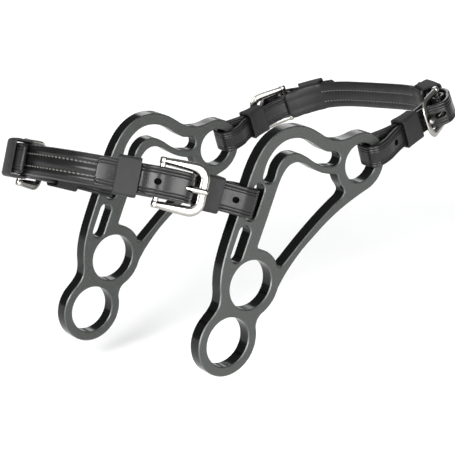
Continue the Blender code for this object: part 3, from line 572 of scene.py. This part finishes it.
def strap_section(half, inset, padded):
    """Cross-sections of a strap as (across, height) columns.  The corners are quarter circles; each outer face
    has two creases of depth * sin^2 beside each edge.  Where padded is 1 the outer face swells by cos^2 between
    the two stitch rows and by sin^2 outside them, which leaves the rows in valleys."""
    r, t = EDGE_ROUND, STRAP_THICK / 2
    a = np.radians([0, 22.5, 45, 67.5, 90])
    d = np.r_[r - r * np.cos(a), CREASE_ROWS]
    h = np.r_[t - r + r * np.sin(a), np.full(len(CREASE_ROWS), t)]
    crease = sum(deep * np.sin(np.clip((d - start) / width, 0, 1) * math.pi)**2 for start, width, deep in CREASES)
    half, inset, padded = half[:, None], inset[:, None], padded[:, None]
    edge = half - inset - d[None] * np.minimum(1, half / CREASE_HALF)
    right = np.concatenate([edge, edge[:, -1:] * INNER_ROWS[None], np.zeros_like(half)], 1)
    high, crease = (np.broadcast_to(np.r_[row, np.full(len(INNER_ROWS) + 1, rest)], right.shape)
                    for row, rest in ((h, t), (crease, 0.0)))
    centre = np.cos(np.clip(right / STITCH_ROW, 0, 1) * math.pi / 2)**2 * SWELL[0]
    flank = np.sin(np.clip((right - STITCH_ROW) / (half - STITCH_ROW - 0.8), 0, 1) * math.pi)**2 * SWELL[1]
    top = high + padded * (centre + flank) - (1 - padded) * crease - inset
    low = -(high - crease - inset)
    v = np.concatenate([right, -right[:, -2::-1], -right, right[:, -2::-1]], 1)
    z = np.concatenate([top, top[:, -2::-1], low, low[:, -2::-1]], 1)
    return v, z


def free_end(name, side):
    """The outer leg and the free end of a strap as one line of (distance, outward) pairs."""
    return np.vstack([leg_points(name, side)[BEND_POINTS:-1], billet_points(name, side)])


def billet_n(name, side, e):
    """Outward place of the free end's middle at distance e."""
    return np.interp(e, *free_end(name, side).T)


BAR_SEARCH = 6.0


def buckle_axes(name, side):
    """A buckle's pivot point, its directions along, up and outward, and where its end bar lies."""
    end = ENDS[name, side]
    length = BANDS[name]["frame_length"]
    pivot = band_place(name, from_plate(name, side, end["pivot"]), PIVOT_N, 0.0)
    tries = np.linspace(end["pivot"] - length - BAR_SEARCH, end["pivot"] - length + BAR_SEARCH, 1601)
    bars = band_place(name, from_plate(name, side, tries), end["bar_n"], 0.0)
    best = np.argmin(np.abs(np.linalg.norm(bars - pivot, axis=1) - length))
    along = (bars[best] - pivot) / np.linalg.norm(bars[best] - pivot)
    _, outward, up = band_axes(name, from_plate(name, side, (end["pivot"] + tries[best]) / 2))
    up -= along * np.dot(up, along)
    up /= np.linalg.norm(up)
    if np.dot(np.cross(along, up), outward) < 0:
        up = -up
    return pivot, along, up, np.cross(along, up), tries[best]


# The tongue's hole leaves HOLE_PLAY round the tongue and TONGUE_ROOM over it when it is lifted.  TONGUE_RISE
# adds room over it: the first for each millimetre along it, up to the second.
PRONG_SWING = 5.0
HOLE_PLAY = 0.45
TONGUE_ROOM = 0.28
TONGUE_RISE = (0.022, 14.0)
TONGUE_CUT = 2.05


def prong_hole(name, side):
    """Where the tongue passes the free end of the strap, at rest and lifted by PRONG_SWING: the first and last
    distance that it needs open."""
    pivot, along, _, outward, bar = buckle_axes(name, side)
    e = np.linspace(bar + 2.0, ENDS[name, side]["pivot"] - 1.0, 400)
    p = band_place(name, from_plate(name, side, e), billet_n(name, side, e), 0.0) - pivot
    u, w = p @ along, p @ outward
    half = STRAP_THICK / 2 * np.sqrt(1 + (np.gradient(w) / np.gradient(u))**2) + PRONG_RADIUS
    lift = u * math.tan(math.radians(PRONG_SWING)) + TONGUE_RISE[0] * np.minimum(u, TONGUE_RISE[1])
    hit = (w > PRONG_RING - half - HOLE_PLAY) & (w < PRONG_RING + lift + half + TONGUE_ROOM)
    return e[hit][0], e[hit][-1]


HOLE_PITCH = 17.5
HOLE_RADIUS = 1.7
HOLE_TOP = 1.6
HOLE_FOOT = 0.85
HOLE_FROM_PLATE = 7.0
HOLE_FROM_TIP = 8.0


def punch(name, side, low, high):
    """A round punch into the strap between two distances: a stadium carried along the strap's normal, from
    HOLE_TOP above its middle to HOLE_FOOT below it, which leaves the back of the leather whole, so the hole
    has a floor that takes painted shade."""
    e = np.array([low, (low + high) / 2, high])
    a, c, b = band_place(name, from_plate(name, side, e), billet_n(name, side, e), 0.0)
    x = (b - a) / np.linalg.norm(b - a)
    _, outward, y = band_axes(name, from_plate(name, side, e[1]))
    y -= x * np.dot(x, y)
    y /= np.linalg.norm(y)
    h = max(np.linalg.norm(b - a) / 2 - HOLE_RADIUS, 0.0)
    ring = np.vstack([arc((h, 0.0), HOLE_RADIUS, -90, 90, 15), arc((-h, 0.0), HOLE_RADIUS, 90.1, 269.9, 15)])
    flat = (a + b + 2 * c) / 4 + ring[:, :1] * x + ring[:, 1:] * y
    z = np.cross(x, y)
    z *= np.sign(np.dot(z, outward))
    return np.stack([flat - HOLE_FOOT * z, flat + HOLE_TOP * z])


def tongue_punch(name, side):
    """The oval punch for the tongue: rows across the rising free end whose half width is that of a stadium,
    a * sqrt(1 - t^2) at its ends, TONGUE_CUT to each side of the leather's middle."""
    low, high = prong_hole(name, side)
    wide = PRONG_RADIUS + HOLE_PLAY
    e = np.linspace(low, high, 33)
    reach = np.clip((np.abs(e - (low + high) / 2) - (high - low) / 2 + wide) / wide, 0, 0.96)
    v = wide * np.sqrt(1 - reach**2)
    c, y, z = moving_frame(name, from_plate(name, side, e), billet_n(name, side, e))
    corners = ((1, 1), (-1, 1), (-1, -1), (1, -1))
    return np.stack([c + y * (v * a)[:, None] + z * TONGUE_CUT * b for a, b in corners], 1)


def gathered(grids, start=0):
    """The points and faces of several closed grids as one mesh, each with its faces turned outward.  A turned
    face begins at its corner number start, which decides the diagonal that it is split along."""
    points, faces, base = [], [], 0
    for grid in grids:
        p = grid.reshape(-1, 3)
        sides = tube_faces(*grid.shape[:2])
        a, b, c = p[sides[0][:3]]
        if np.dot(np.cross(b - a, c - a), a - grid[0].mean(0)) < 0:
            sides = [face[start::-1] + face[:start:-1] for face in sides]
        points.append(p)
        faces += [[base + k for k in face] for face in sides]
        base += len(p)
    return np.concatenate(points), faces


def cut(obj, rings, hole_shade):
    """Cut every punch out of a piece in one step; the cut faces take the given painted shade finish."""
    tool = new_piece("punches", *gathered(rings))
    tool.data.materials.append(hole_shade)
    step = obj.modifiers.new("punch", "BOOLEAN")
    step.operation = "DIFFERENCE"
    step.solver = "EXACT"
    step.material_mode = "TRANSFER"
    step.object = tool
    mesh = bpy.data.meshes.new_from_object(obj.evaluated_get(bpy.context.evaluated_depsgraph_get()))
    obj.modifiers.clear()
    obj.data = mesh
    shade(mesh, PIECE_SHARP)
    bpy.data.objects.remove(tool)


# Bridle leather: curried and waxed, dyed black through, so it is nearly black with a satin sheen that lies
# along the strap.  The grain cells are 0.3 mm on real leather and are drawn at 0.8 mm.
leather, where = new_finish("black_waxed_bridle_leather", "#100f0f", Roughness=0.3, Specular_IOR_Level=0.3)
cells = add(leather, "TexVoronoi", {"Vector": where, "Scale": 1250.0}, feature="DISTANCE_TO_EDGE")
pores = noise(leather, where, 900.0, 3.0, 0.6)
wax = noise(leather, where, 85.0, 4.0, 0.55)
spread(leather, wax, 0.23, 0.39, (0.3, 0.72))
tint(leather, wax, "#0a0a0a", "#171616")
grain = add(leather, "Bump", {"Height": cells, "Strength": 0.35, "Distance": 0.00012})
add(leather, "Bump", {"Height": pores, "Strength": 0.3, "Distance": 0.00012, "Normal": grain}, "Normal")

# Hole leather: near black and quite dull, painted shade that stands in for the dark inside of the punched holes.
hole_painted_shade, where = new_finish("black_leather_hole_painted_shade", "#050505", Roughness=0.9, Specular_IOR_Level=0.05)
shade_mottle = noise(hole_painted_shade, where, 1500.0, 2.0)
tint(hole_painted_shade, shade_mottle, "#020202", "#080808")

for name in BANDS:
    s, n, half, inset = strap_path(name)
    c, wide, face = moving_frame(name, s, n)
    middle = np.argmin(np.abs(s - TABLES[name][0][-1] / 2))
    face *= np.sign(np.dot(face[middle], band_axes(name, s[middle])[1]))
    v, z = strap_section(half, inset, stitched(name, s) * (n < 0))
    strap = strip_piece(name + "_leather", (c, wide, face), v, z)
    rings = []
    for side in ("right", "left"):
        rings.append(tongue_punch(name, side))
        line = free_end(name, side)
        run = run_along(line)
        middle = np.interp(sum(prong_hole(name, side)) / 2, line[:, 0], run)
        for e in np.interp(middle + HOLE_PITCH * np.array([-2, -1, 1]), run, line[:, 0]):
            if HOLE_FROM_PLATE < e < ENDS[name, side]["tip"] - HOLE_FROM_TIP:
                rings.append(punch(name, side, e - HOLE_RADIUS, e + HOLE_RADIUS))
    strap.data.materials.append(leather)
    # The punched holes' cut faces take painted shade.
    cut(strap, rings, hole_painted_shade)
    place(strap, name + "_strap", "strap")


# Padded linings.  Soft black leather is wrapped over a strip of felt and sewn to the back of the strap, so
# the face against the horse is crowned between and beside its two rows of stitches.
PAD_WIDTH = 16.8
PAD_BACK = -(2 * GAP + STRAP_THICK)
PAD_CORNER = 4.0
PAD_OVERLAP = 3.0
PAD_SKIVE = 9.0
PAD_THIN = 2.0
PAD_LEAST = 0.4
PAD_END_ROWS = np.array([0.0, 0.1, 0.35, 0.8, 1.5, 2.4, 3.2])
PAD_END_ROUND = 1.2
PAD_MID_START = 4.0
PAD_MID_STEP = 1.2
PAD_SEAM = 0.45
PAD_VALLEY = 0.42
SEAT_MARGIN = 2.0
SEAT_RUN = 1.5
KEEPER_WALL = 1.3


def pad_section(half, back, front):
    """Cross-sections of a lining as (across, outward) columns.  Back and face close at the edges as
    sqrt(1 - t^6).  The face is crowned as cos^0.8 between the stitch rows and sin^0.8 beside them, and dips by
    PAD_VALLEY at the rows."""
    u = np.linspace(-1, 1, 35)
    half, back, front = half[:, None], back[:, None], front[:, None]
    v = half * np.sin(u * math.pi / 2)[None]
    side = np.clip((np.abs(v) - STITCH_ROW) / np.maximum(half - STITCH_ROW, 0.5), 0, 1)
    inside = np.clip(np.abs(v) / STITCH_ROW, 0, 1)
    swell = np.where(np.abs(v) < STITCH_ROW, np.cos(inside * math.pi / 2)**0.8, np.sin(side * math.pi)**0.8)
    rim = np.sqrt(np.clip(1 - (np.abs(v) / half)**6, 0, 1))
    thick = back - front
    face = back - PAD_SEAM * thick - ((1 - PAD_SEAM) * thick - PAD_VALLEY * (1 - swell)) * rim
    rear = back - PAD_SEAM * thick * (1 - rim)
    return np.concatenate([v, v[:, -2:0:-1]], 1), np.concatenate([face, rear[:, -2:0:-1]], 1)


# Lining leather: softer and less waxed, so it is duller than the straps and a little lighter.
lining, where = new_finish("black_soft_lining_leather", "#1d1c1c", Roughness=0.45, Specular_IOR_Level=0.3)
cells = add(lining, "TexVoronoi", {"Vector": where, "Scale": 1000.0}, feature="DISTANCE_TO_EDGE")
rumple = noise(lining, where, 160.0, 3.0, 0.5)
tint(lining, rumple, "#0f0f0f", "#1f1e1e")
spread(lining, rumple, 0.36, 0.54)
folds = add(lining, "Bump", {"Height": rumple, "Strength": 0.5, "Distance": 0.0005})
add(lining, "Bump", {"Height": cells, "Strength": 0.4, "Distance": 0.00012, "Normal": folds}, "Normal")

for name in BANDS:
    low = ENDS[name, "right"]["pivot"] - PAD_OVERLAP
    high = from_plate(name, "left", ENDS[name, "left"]["pivot"] - PAD_OVERLAP)
    rows = np.linspace(low + PAD_MID_START, high - PAD_MID_START, int((high - low) / PAD_MID_STEP))
    s = np.r_[low + PAD_END_ROWS, rows, (high - PAD_END_ROWS)[::-1]]
    d = np.minimum(s - low, high - s)
    corner = np.sqrt(np.clip(PAD_CORNER**2 - np.clip(PAD_CORNER - d, 0, None)**2, 0.04, None))
    half = PAD_WIDTH / 2 - PAD_CORNER + corner
    round_end = np.sqrt(np.clip(1 - (1 - np.clip(d / PAD_END_ROUND, 0, 1))**2, 0.02, 1))
    skived = np.clip(d / PAD_SKIVE, 0, 1)
    thick = (PAD_THIN + (PAD_THICK - PAD_THIN) * skived * (2 - skived)) * round_end
    seat = np.zeros_like(s)
    for side in ("right", "left"):
        a, b = sorted(from_plate(name, side, np.array(ENDS[name, side]["fixed"])))
        seat = np.maximum(seat, eased(np.minimum(s - a + SEAT_MARGIN, b + SEAT_MARGIN - s) / SEAT_RUN))
    back = PAD_BACK - (1 - round_end) - seat * (KEEPER_WALL + 2 * GAP)
    v, z = pad_section(half, back, np.minimum(PAD_BACK - thick, back - PAD_LEAST))
    c, out, wide = band_axes(name, s)
    pad = strip_piece(name + "_lining", (c, wide, out), v, z, PAD_SHARP)
    place(pad, name + "_pad", "pad", lining)


# Stitching.  Two rows of waxed black thread, about five stitches to the half inch, hold each lining to its
# strap.  Each stitch leans a little and its ends dip into the leather; it shows on both faces.
STITCH_PITCH = 2.6
STITCH_LENGTH = 1.8
THREAD = 0.42
STITCH_LEAN = 0.09
STITCH_DIP = 0.16
STITCH_OUTER = 0.1 - GAP
STITCH_INNER = PAD_BACK - PAD_THICK + 0.36


def stitch_rows(name, across, height, stations):
    """Capsules along a row of stations: each is a ring of six points carried along a shallow arch, with the
    radius THREAD * sqrt(1 - t^6) so that it closes at both ends."""
    t = np.linspace(-1, 1, 7)[:, None]
    r = THREAD * np.sqrt(np.clip(1 - t**6, 0.03, 1))
    a = np.radians(np.arange(0, 360, 60))
    n = height - STITCH_DIP * t**2 + r * np.sin(a) * 0.8
    v = across + STITCH_LEAN * t + r * np.cos(a)
    return band_place(name, stations[:, None, None] + STITCH_LENGTH / 2 * t, n, v)


thread, where = new_finish("waxed_black_polyester_thread", "#53524f", Roughness=0.42, Specular_IOR_Level=0.6)
ply = noise(thread, where, 2600.0, 2.0)
add(thread, "Bump", {"Height": ply, "Strength": 0.6, "Distance": 0.0001}, "Normal")
tint(thread, ply, "#2c2b29", "#5e5d59")

for name in BANDS:
    low = ENDS[name, "right"]["pivot"] + STITCH_START
    high = from_plate(name, "left", ENDS[name, "left"]["pivot"] + STITCH_START)
    stations = np.arange(low, high, STITCH_PITCH)
    blocks = np.concatenate([stitch_rows(name, side * STITCH_ROW, height, stations)
                             for side in (-1, 1) for height in (STITCH_OUTER, STITCH_INNER)])
    seam = new_piece(name + "_stitching", *gathered(blocks), STITCH_SHARP)
    seam.data.materials.append(thread)
    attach(seam, frame["nodes"][name + "_strap"]["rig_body"])


# Chapes.  A short strip of the same leather is folded round the buckle's pivot bar, with an oblong hole for
# the tongue, and its tail is sewn to the strap under the free end.
CHAPE_TAIL = 25.0
CHAPE_PLAY = 0.5
CHAPE_ROUND = 0.6
CHAPE_END = 0.5
CHAPE_CREASE = 0.15
CHAPE_HOLE = (6.0, PRONG_RADIUS + 0.4)
CHAPE_CUT = 5.1

for (name, side), end in ENDS.items():
    pivot = end["pivot"]
    r = BAR_RADIUS + CHAPE_PLAY + CHAPE_THICK / 2
    n = CHAPE_THICK / 2
    foot = PIVOT_N - r
    tail = smooth([(pivot + k, n) for k in (CHAPE_TAIL, 22.0, 19.0, 16.0, 13.0, 10.0, 7.5)]
                  + [(pivot + 4.2, n + 0.1), (pivot + 1.8, foot - 0.25), (pivot, foot)], 6)
    path = np.vstack([[(pivot + CHAPE_TAIL - k, n) for k in (0.0, 0.15, 0.5)], tail[1:-1],
                      arc((pivot, PIVOT_N), r, 270, -22, 10)])
    c, wide, face = moving_frame(name, from_plate(name, side, path[:, 0]), path[:, 1])
    run = run_along(c)
    inset = end_inset(np.minimum(run, run[-1] - run), CHAPE_END)
    r0, t = CHAPE_ROUND, CHAPE_THICK / 2
    a = np.radians([0, 30, 60, 90])
    half = BANDS[name]["chape"] / 2
    v1 = np.r_[half - r0 + r0 * np.cos(a), half - 1.3, half - 1.5, half - 1.7, half * 0.4, 0.0]
    z1 = np.r_[t - r0 + r0 * np.sin(a), t, t - CHAPE_CREASE, t, t, t]
    v = np.r_[v1, -v1[-2::-1], -v1, v1[-2::-1]][None] * (1 - inset[:, None] / half)
    z = np.r_[z1, z1[-2::-1], -z1, -z1[-2::-1]][None] * (1 - inset[:, None])
    chape = strip_piece(f"{name}_{side}_chape_leather", (c, wide, face), v, z)
    point, along, up, outward, _ = buckle_axes(name, side)
    box = np.array([(-1, -1), (1, -1), (1, 1), (-1, 1)]) * CHAPE_HOLE
    flat = point + box[:, :1] * along + box[:, 1:] * up
    chape.data.materials.append(leather)
    # The tongue hole's cut faces take painted shade.
    cut(chape, [np.stack([flat - CHAPE_CUT * outward, flat + CHAPE_CUT * outward])], hole_painted_shade)
    place(chape, name + "_chape_" + side, "strap")


# Keepers.  Flat loops of matt black leather, 1.3 mm thick.  One slides beside the plate and holds the two
# legs of the strap together; the other is sewn in beyond the buckle and holds the strap's tip.
KEEPER_PLAY = 0.5
KEEPER_ROUND = 0.45
KEEPER_CORNER = 1.3
SLIDE_TRAVEL = 2.0
LEG_STEPS = np.linspace(0, 130, 1301)


def keeper_piece(name, band, side, span, low, high, half):
    """A keeper: a rounded rectangle between low(e) and high(e), half to each side, carried round a section of
    its wall, which is a strip from span[0] to span[1] with rounded edges."""
    t = KEEPER_WALL / 2
    a = np.radians([60, 30, 0, -30, -60])
    r = KEEPER_ROUND
    e0, e1 = span
    wall_e = np.r_[np.linspace(e0 + r, e1 - r, 15), e1 - r + r * np.cos(a), np.linspace(e1 - r, e0 + r, 15),
                   e0 + r - r * np.cos(a)]
    lift = (t - r) * np.sign(np.sin(a)) + r * np.sin(a)
    wall_m = np.r_[np.full(15, t), lift, np.full(15, -t), -lift]
    corner = KEEPER_CORNER + wall_m
    ring_a = np.radians(np.r_[90:-1:-15.0])
    points = []
    for quarter, (sn, sv) in enumerate(((1, 1), (-1, 1), (-1, -1), (1, -1))):
        turn = ring_a - quarter * math.pi / 2
        top = np.where(sn > 0, high(wall_e) + t + wall_m, low(wall_e) - t - wall_m)
        n = top[:, None] - sn * corner[:, None] + corner[:, None] * np.sin(turn)[None]
        v = sv * (half + wall_m - corner)[:, None] + corner[:, None] * np.cos(turn)[None]
        points.append(np.stack([n, v], -1))
    ring = np.concatenate(points, 1)
    grid = band_place(band, from_plate(band, side, wall_e)[:, None], ring[..., 0], ring[..., 1])
    grid = np.concatenate([grid, grid[:1]])
    rows, columns = grid.shape[:2]
    faces = np.array(tube_faces(rows, columns, False)) % ((rows - 1) * columns)
    return new_piece(name, grid[:-1], faces.tolist(), KEEPER_SHARP)


# Keeper leather: dyed and left unwaxed, so it is a flat even dark grey.
keeper_leather, where = new_finish("matt_black_keeper_leather", "#161616", Roughness=0.64, Specular_IOR_Level=0.3)
cells = add(keeper_leather, "TexVoronoi", {"Vector": where, "Scale": 1500.0}, feature="DISTANCE_TO_EDGE")
flesh = noise(keeper_leather, where, 350.0, 4.0, 0.6)
tint(keeper_leather, flesh, "#0b0b0b", "#1d1d1d")
weave = add(keeper_leather, "Bump", {"Height": cells, "Strength": 0.3, "Distance": 0.0001})
add(keeper_leather, "Bump", {"Height": flesh, "Strength": 0.35, "Distance": 0.0002, "Normal": weave}, "Normal")

for (name, side), end in ENDS.items():
    leg = leg_points(name, side)[BEND_POINTS:]
    reach = np.interp(LEG_STEPS - SLIDE_TRAVEL, leg[:, 0], leg[:, 1]) + STRAP_THICK / 2 + KEEPER_PLAY
    slider = keeper_piece(f"{name}_{side}_sliding_keeper", name, side, end["sliding"],
                          lambda e: -np.interp(e, LEG_STEPS, reach), lambda e: np.interp(e, LEG_STEPS, reach),
                          BANDS[name]["strap"] / 2 + KEEPER_PLAY + KEEPER_WALL / 2)
    place(slider, name + "_keeper_sliding_" + side, "keeper", keeper_leather)
    fixed = keeper_piece(f"{name}_{side}_fixed_keeper", name, side, end["fixed"],
                         lambda e: np.full(len(e), PAD_BACK),
                         lambda e: billet_n(name, side, e) + STRAP_THICK / 2 + GAP + 0.15,
                         BANDS[name]["fixed_half"])
    place(fixed, name + "_keeper_fixed_" + side, "keeper", keeper_leather)


# Buckle frames.  Steel wire bent to a rounded D and flattened on its end bar, brazed to two knuckles that
# carry the pivot bar, and nickel plated bright.
WIRE_RADIUS = 1.9
BAR_SPREAD = 0.8
KNUCKLE_RADIUS = 1.95
KNUCKLE_LENGTH = 3.4
KNUCKLE_EDGE = 0.6
FRAME_CORNER = 6.0
BAR_OUTSET = 0.35
WIRE_DRAW = 0.2
BAR_THIN = 0.5


def swept(path, normal, wide, thick, sides=20):
    """A tube along a plane path: at each point an ellipse with the half axis wide in the plane, across the
    path, and thick along the plane's normal."""
    across = np.cross(unit(np.gradient(path, axis=0)), normal)
    a = np.radians(np.arange(0, 360, 360 / sides))
    return (path[:, None] + across[:, None] * (wide[:, None] * np.cos(a))[..., None]
            + np.asarray(normal, float) * (thick[:, None] * np.sin(a))[..., None])


def turned(rim, middle, sides=24):
    """A bar turned about Y round a middle: the (y, radius) pairs of one end, and their mirror image, become
    rings."""
    profile = np.vstack([rim[::-1] * (-1, 1), rim]) + (middle, 0)
    a = np.radians(np.arange(0, 360, 360 / sides))
    y = np.broadcast_to(profile[:, :1], (len(profile), sides))
    return np.stack([profile[:, 1:] * np.cos(a), y, profile[:, 1:] * np.sin(a)], -1)


def joined(name, grids, axes):
    """One piece from several closed grids given in a buckle's own axes."""
    point, along, up, outward = axes[:4]
    p, faces = gathered(grids, -1)
    return new_piece(name, point + p[:, :1] * along + p[:, 1:2] * up + p[:, 2:] * outward, faces)


# Bright nickel plate: a soft mirror, slightly warm, with faint polishing waves.
nickel, where = new_finish("bright_nickel_plate", "#999792", Metallic=1.0, Roughness=0.2)
wave = noise(nickel, where, 320.0, 2.0)
spread(nickel, wave, 0.16, 0.24)
add(nickel, "Bump", {"Height": wave, "Strength": 0.03, "Distance": 0.0001}, "Normal")

for name, side in ENDS:
    length, half = BANDS[name]["frame_length"] + BAR_OUTSET, BANDS[name]["frame_half"]
    corner, square = length - FRAME_CORNER, half - FRAME_CORNER
    upper = np.vstack([np.c_[np.linspace(0, corner, 12), np.full(12, half)][:-1],
                       arc((corner, square), FRAME_CORNER, 90, 0, 6),
                       np.c_[np.full(5, length), np.linspace(square, 0, 5)][1:]])
    plan = np.vstack([upper, upper[-2::-1] * (1, -1)])
    path = np.c_[plan, np.zeros(len(plan))]
    flatten = np.sin(np.clip(plan[:, 0] / length, 0, 1) * math.pi / 2)**0.8
    broad = WIRE_RADIUS - WIRE_DRAW + (BAR_SPREAD + WIRE_DRAW) * flatten
    thin = WIRE_RADIUS - WIRE_DRAW - BAR_THIN * flatten
    size = half / BANDS["chinstrap"]["frame_half"]
    k, q, r = KNUCKLE_LENGTH / 2, KNUCKLE_EDGE, KNUCKLE_RADIUS
    knuckle = np.array([(k - q, r), (k - q / 3, r - q / 3), (k, r - q), (k, 0.4)])
    b = half + k + 0.2
    bar = np.array([(b - 0.4, BAR_RADIUS), (b, 1.2), (b, 0.3)])
    parts = [swept(path, (0, 0, 1), broad * size, thin * size), turned(knuckle, half), turned(knuckle, -half),
             turned(bar, 0)]
    buckle = joined(f"{name}_{side}_buckle_frame", parts, buckle_axes(name, side))
    place(buckle, name + "_buckle_" + side, "steel", nickel)


# Prongs.  Plated wire, curled round the pivot bar; the tongue passes the strap's hole and its flattened
# point rests on the end bar.
EYE_ARC = (345, 90)
TONGUE_BROAD = 0.35
TONGUE_NOSE = 1.6

for name, side in ENDS:
    rest = WIRE_RADIUS + GAP + PRONG_RADIUS - 0.5
    length = BANDS[name]["frame_length"]
    eye = arc((0.0, 0.0), PRONG_RING, *EYE_ARC, 10)
    marks = [eye[-1], (8.0, PRONG_RING + 0.05), (14.0, rest), (length - 1.0, rest), (length + 1.2, rest - 0.1),
             (length + 2.8, rest - 0.5)]
    plan = np.vstack([eye[:-1], smooth(marks)])
    path = np.c_[plan[:, 0], np.zeros(len(plan)), plan[:, 1]]
    run = run_along(path)
    nose = np.sqrt(np.clip(1 - (1 - np.clip((run[-1] - run) / TONGUE_NOSE, 0, 1))**2, 0.02, 1))
    broad = 1 + TONGUE_BROAD * np.clip((run - 10.0) / 6.0, 0, 1)
    tongue = swept(path, (0, 1, 0), PRONG_RADIUS * nose, PRONG_RADIUS * nose * broad, 16)
    prong = joined(f"{name}_{side}_tongue", [tongue], buckle_axes(name, side))
    place(prong, name + "_prong_" + side, "steel", nickel)


# Studio.  A white floor 16 mm below the lowest ring, which glows more with distance, six soft lamps, and a pale
# surround that the camera sees as white; the camera looks from the rear right, 37 degrees round and 19 degrees
# above, through a lens of 4.127 picture widths.
FLOOR_Z = -149.0
FLOOR_HALF = 6000.0
SURROUND_LIGHT = 0.34
SURROUND_SEEN = 1.1
PICTURE_WIDTHS = 4.127
SENSOR = 36.0
CAMERA_AT = (-0.6137, -0.81335, 0.2984)
CAMERA_DOWN = 0.333
CAMERA_ROUND = -0.653

paper, where = new_finish("white_floor", "#f4f4f4", Roughness=0.9, Specular_IOR_Level=0.0,
                          Emission_Color=(1, 1, 1, 1))
rays = add(paper, "LightPath", {}).node.outputs
seen = add(paper, "Math", {0: rays["Is Camera Ray"], 1: rays["Is Glossy Ray"]}, operation="MAXIMUM")
seen = add(paper, "Math", {0: seen, 1: rays["Is Transmission Ray"]}, operation="MAXIMUM")
away = add(paper, "VectorMath", {0: where}, output="Value", operation="LENGTH")
glow = spread(paper, away, 0.11, 0.8, (0.3, 1.3), None)
add(paper, "Math", {0: seen, 1: glow}, "Emission Strength", operation="MULTIPLY")
sheet = np.array([(-1, -1, 0), (1, -1, 0), (1, 1, 0), (-1, 1, 0)]) * FLOOR_HALF + (0, 0, FLOOR_Z)
floor_mesh = bpy.data.meshes.new("floor")
floor_mesh.from_pydata((sheet * MM).tolist(), [], [(0, 1, 2, 3)])
floor = new_object("floor", floor_mesh)
floor.data.materials.append(paper)

for label, energy, size, at in (
        ("top", 4.6, 1.0, (-0.45, -0.2, 1.3)),
        ("left", 24.0, 0.65, (-1.27, -0.49, 0.62)),
        ("front", 30.0, 0.95, (-0.18, -1.45, 0.31)),
        ("card", 4.5, 1.2, (-0.85, -1.15, 0.85)),
        ("back", 3.6, 0.7, (0.95, 1.2, 0.62)),
        ("near", 0.8, 0.22, (-0.4, -0.42, -0.04))):
    lamp = bpy.data.lights.new(label, "AREA")
    lamp.energy = energy
    lamp.size = size
    box = new_object(label, lamp)
    box.location = at
    box.visible_camera = False
    ray = -np.array(at)
    box.rotation_euler = (math.acos(-ray[2] / np.linalg.norm(ray)), 0.0, math.atan2(ray[1], ray[0]) - math.pi / 2)

world = bpy.data.worlds.new("surround")
bpy.context.scene.world = world
world.use_nodes = True
back = world.node_tree.nodes["Background"]
back.inputs["Color"].default_value = linear("#d8d9db")
seen = add(world, "LightPath", {}, output="Is Camera Ray")
light = add(world, "Math", {0: seen, 1: SURROUND_SEEN, 2: SURROUND_LIGHT}, operation="MULTIPLY_ADD")
world.node_tree.links.new(light, back.inputs["Strength"])

camera_data = bpy.data.cameras.new("camera")
camera_data.sensor_width = SENSOR
camera_data.lens = SENSOR * PICTURE_WIDTHS
camera = new_object("camera", camera_data)
camera.location = CAMERA_AT
camera.rotation_euler = (math.pi / 2 - CAMERA_DOWN, 0.0, CAMERA_ROUND)
bpy.context.scene.camera = camera
bpy.context.scene.view_settings.view_transform = "Standard"
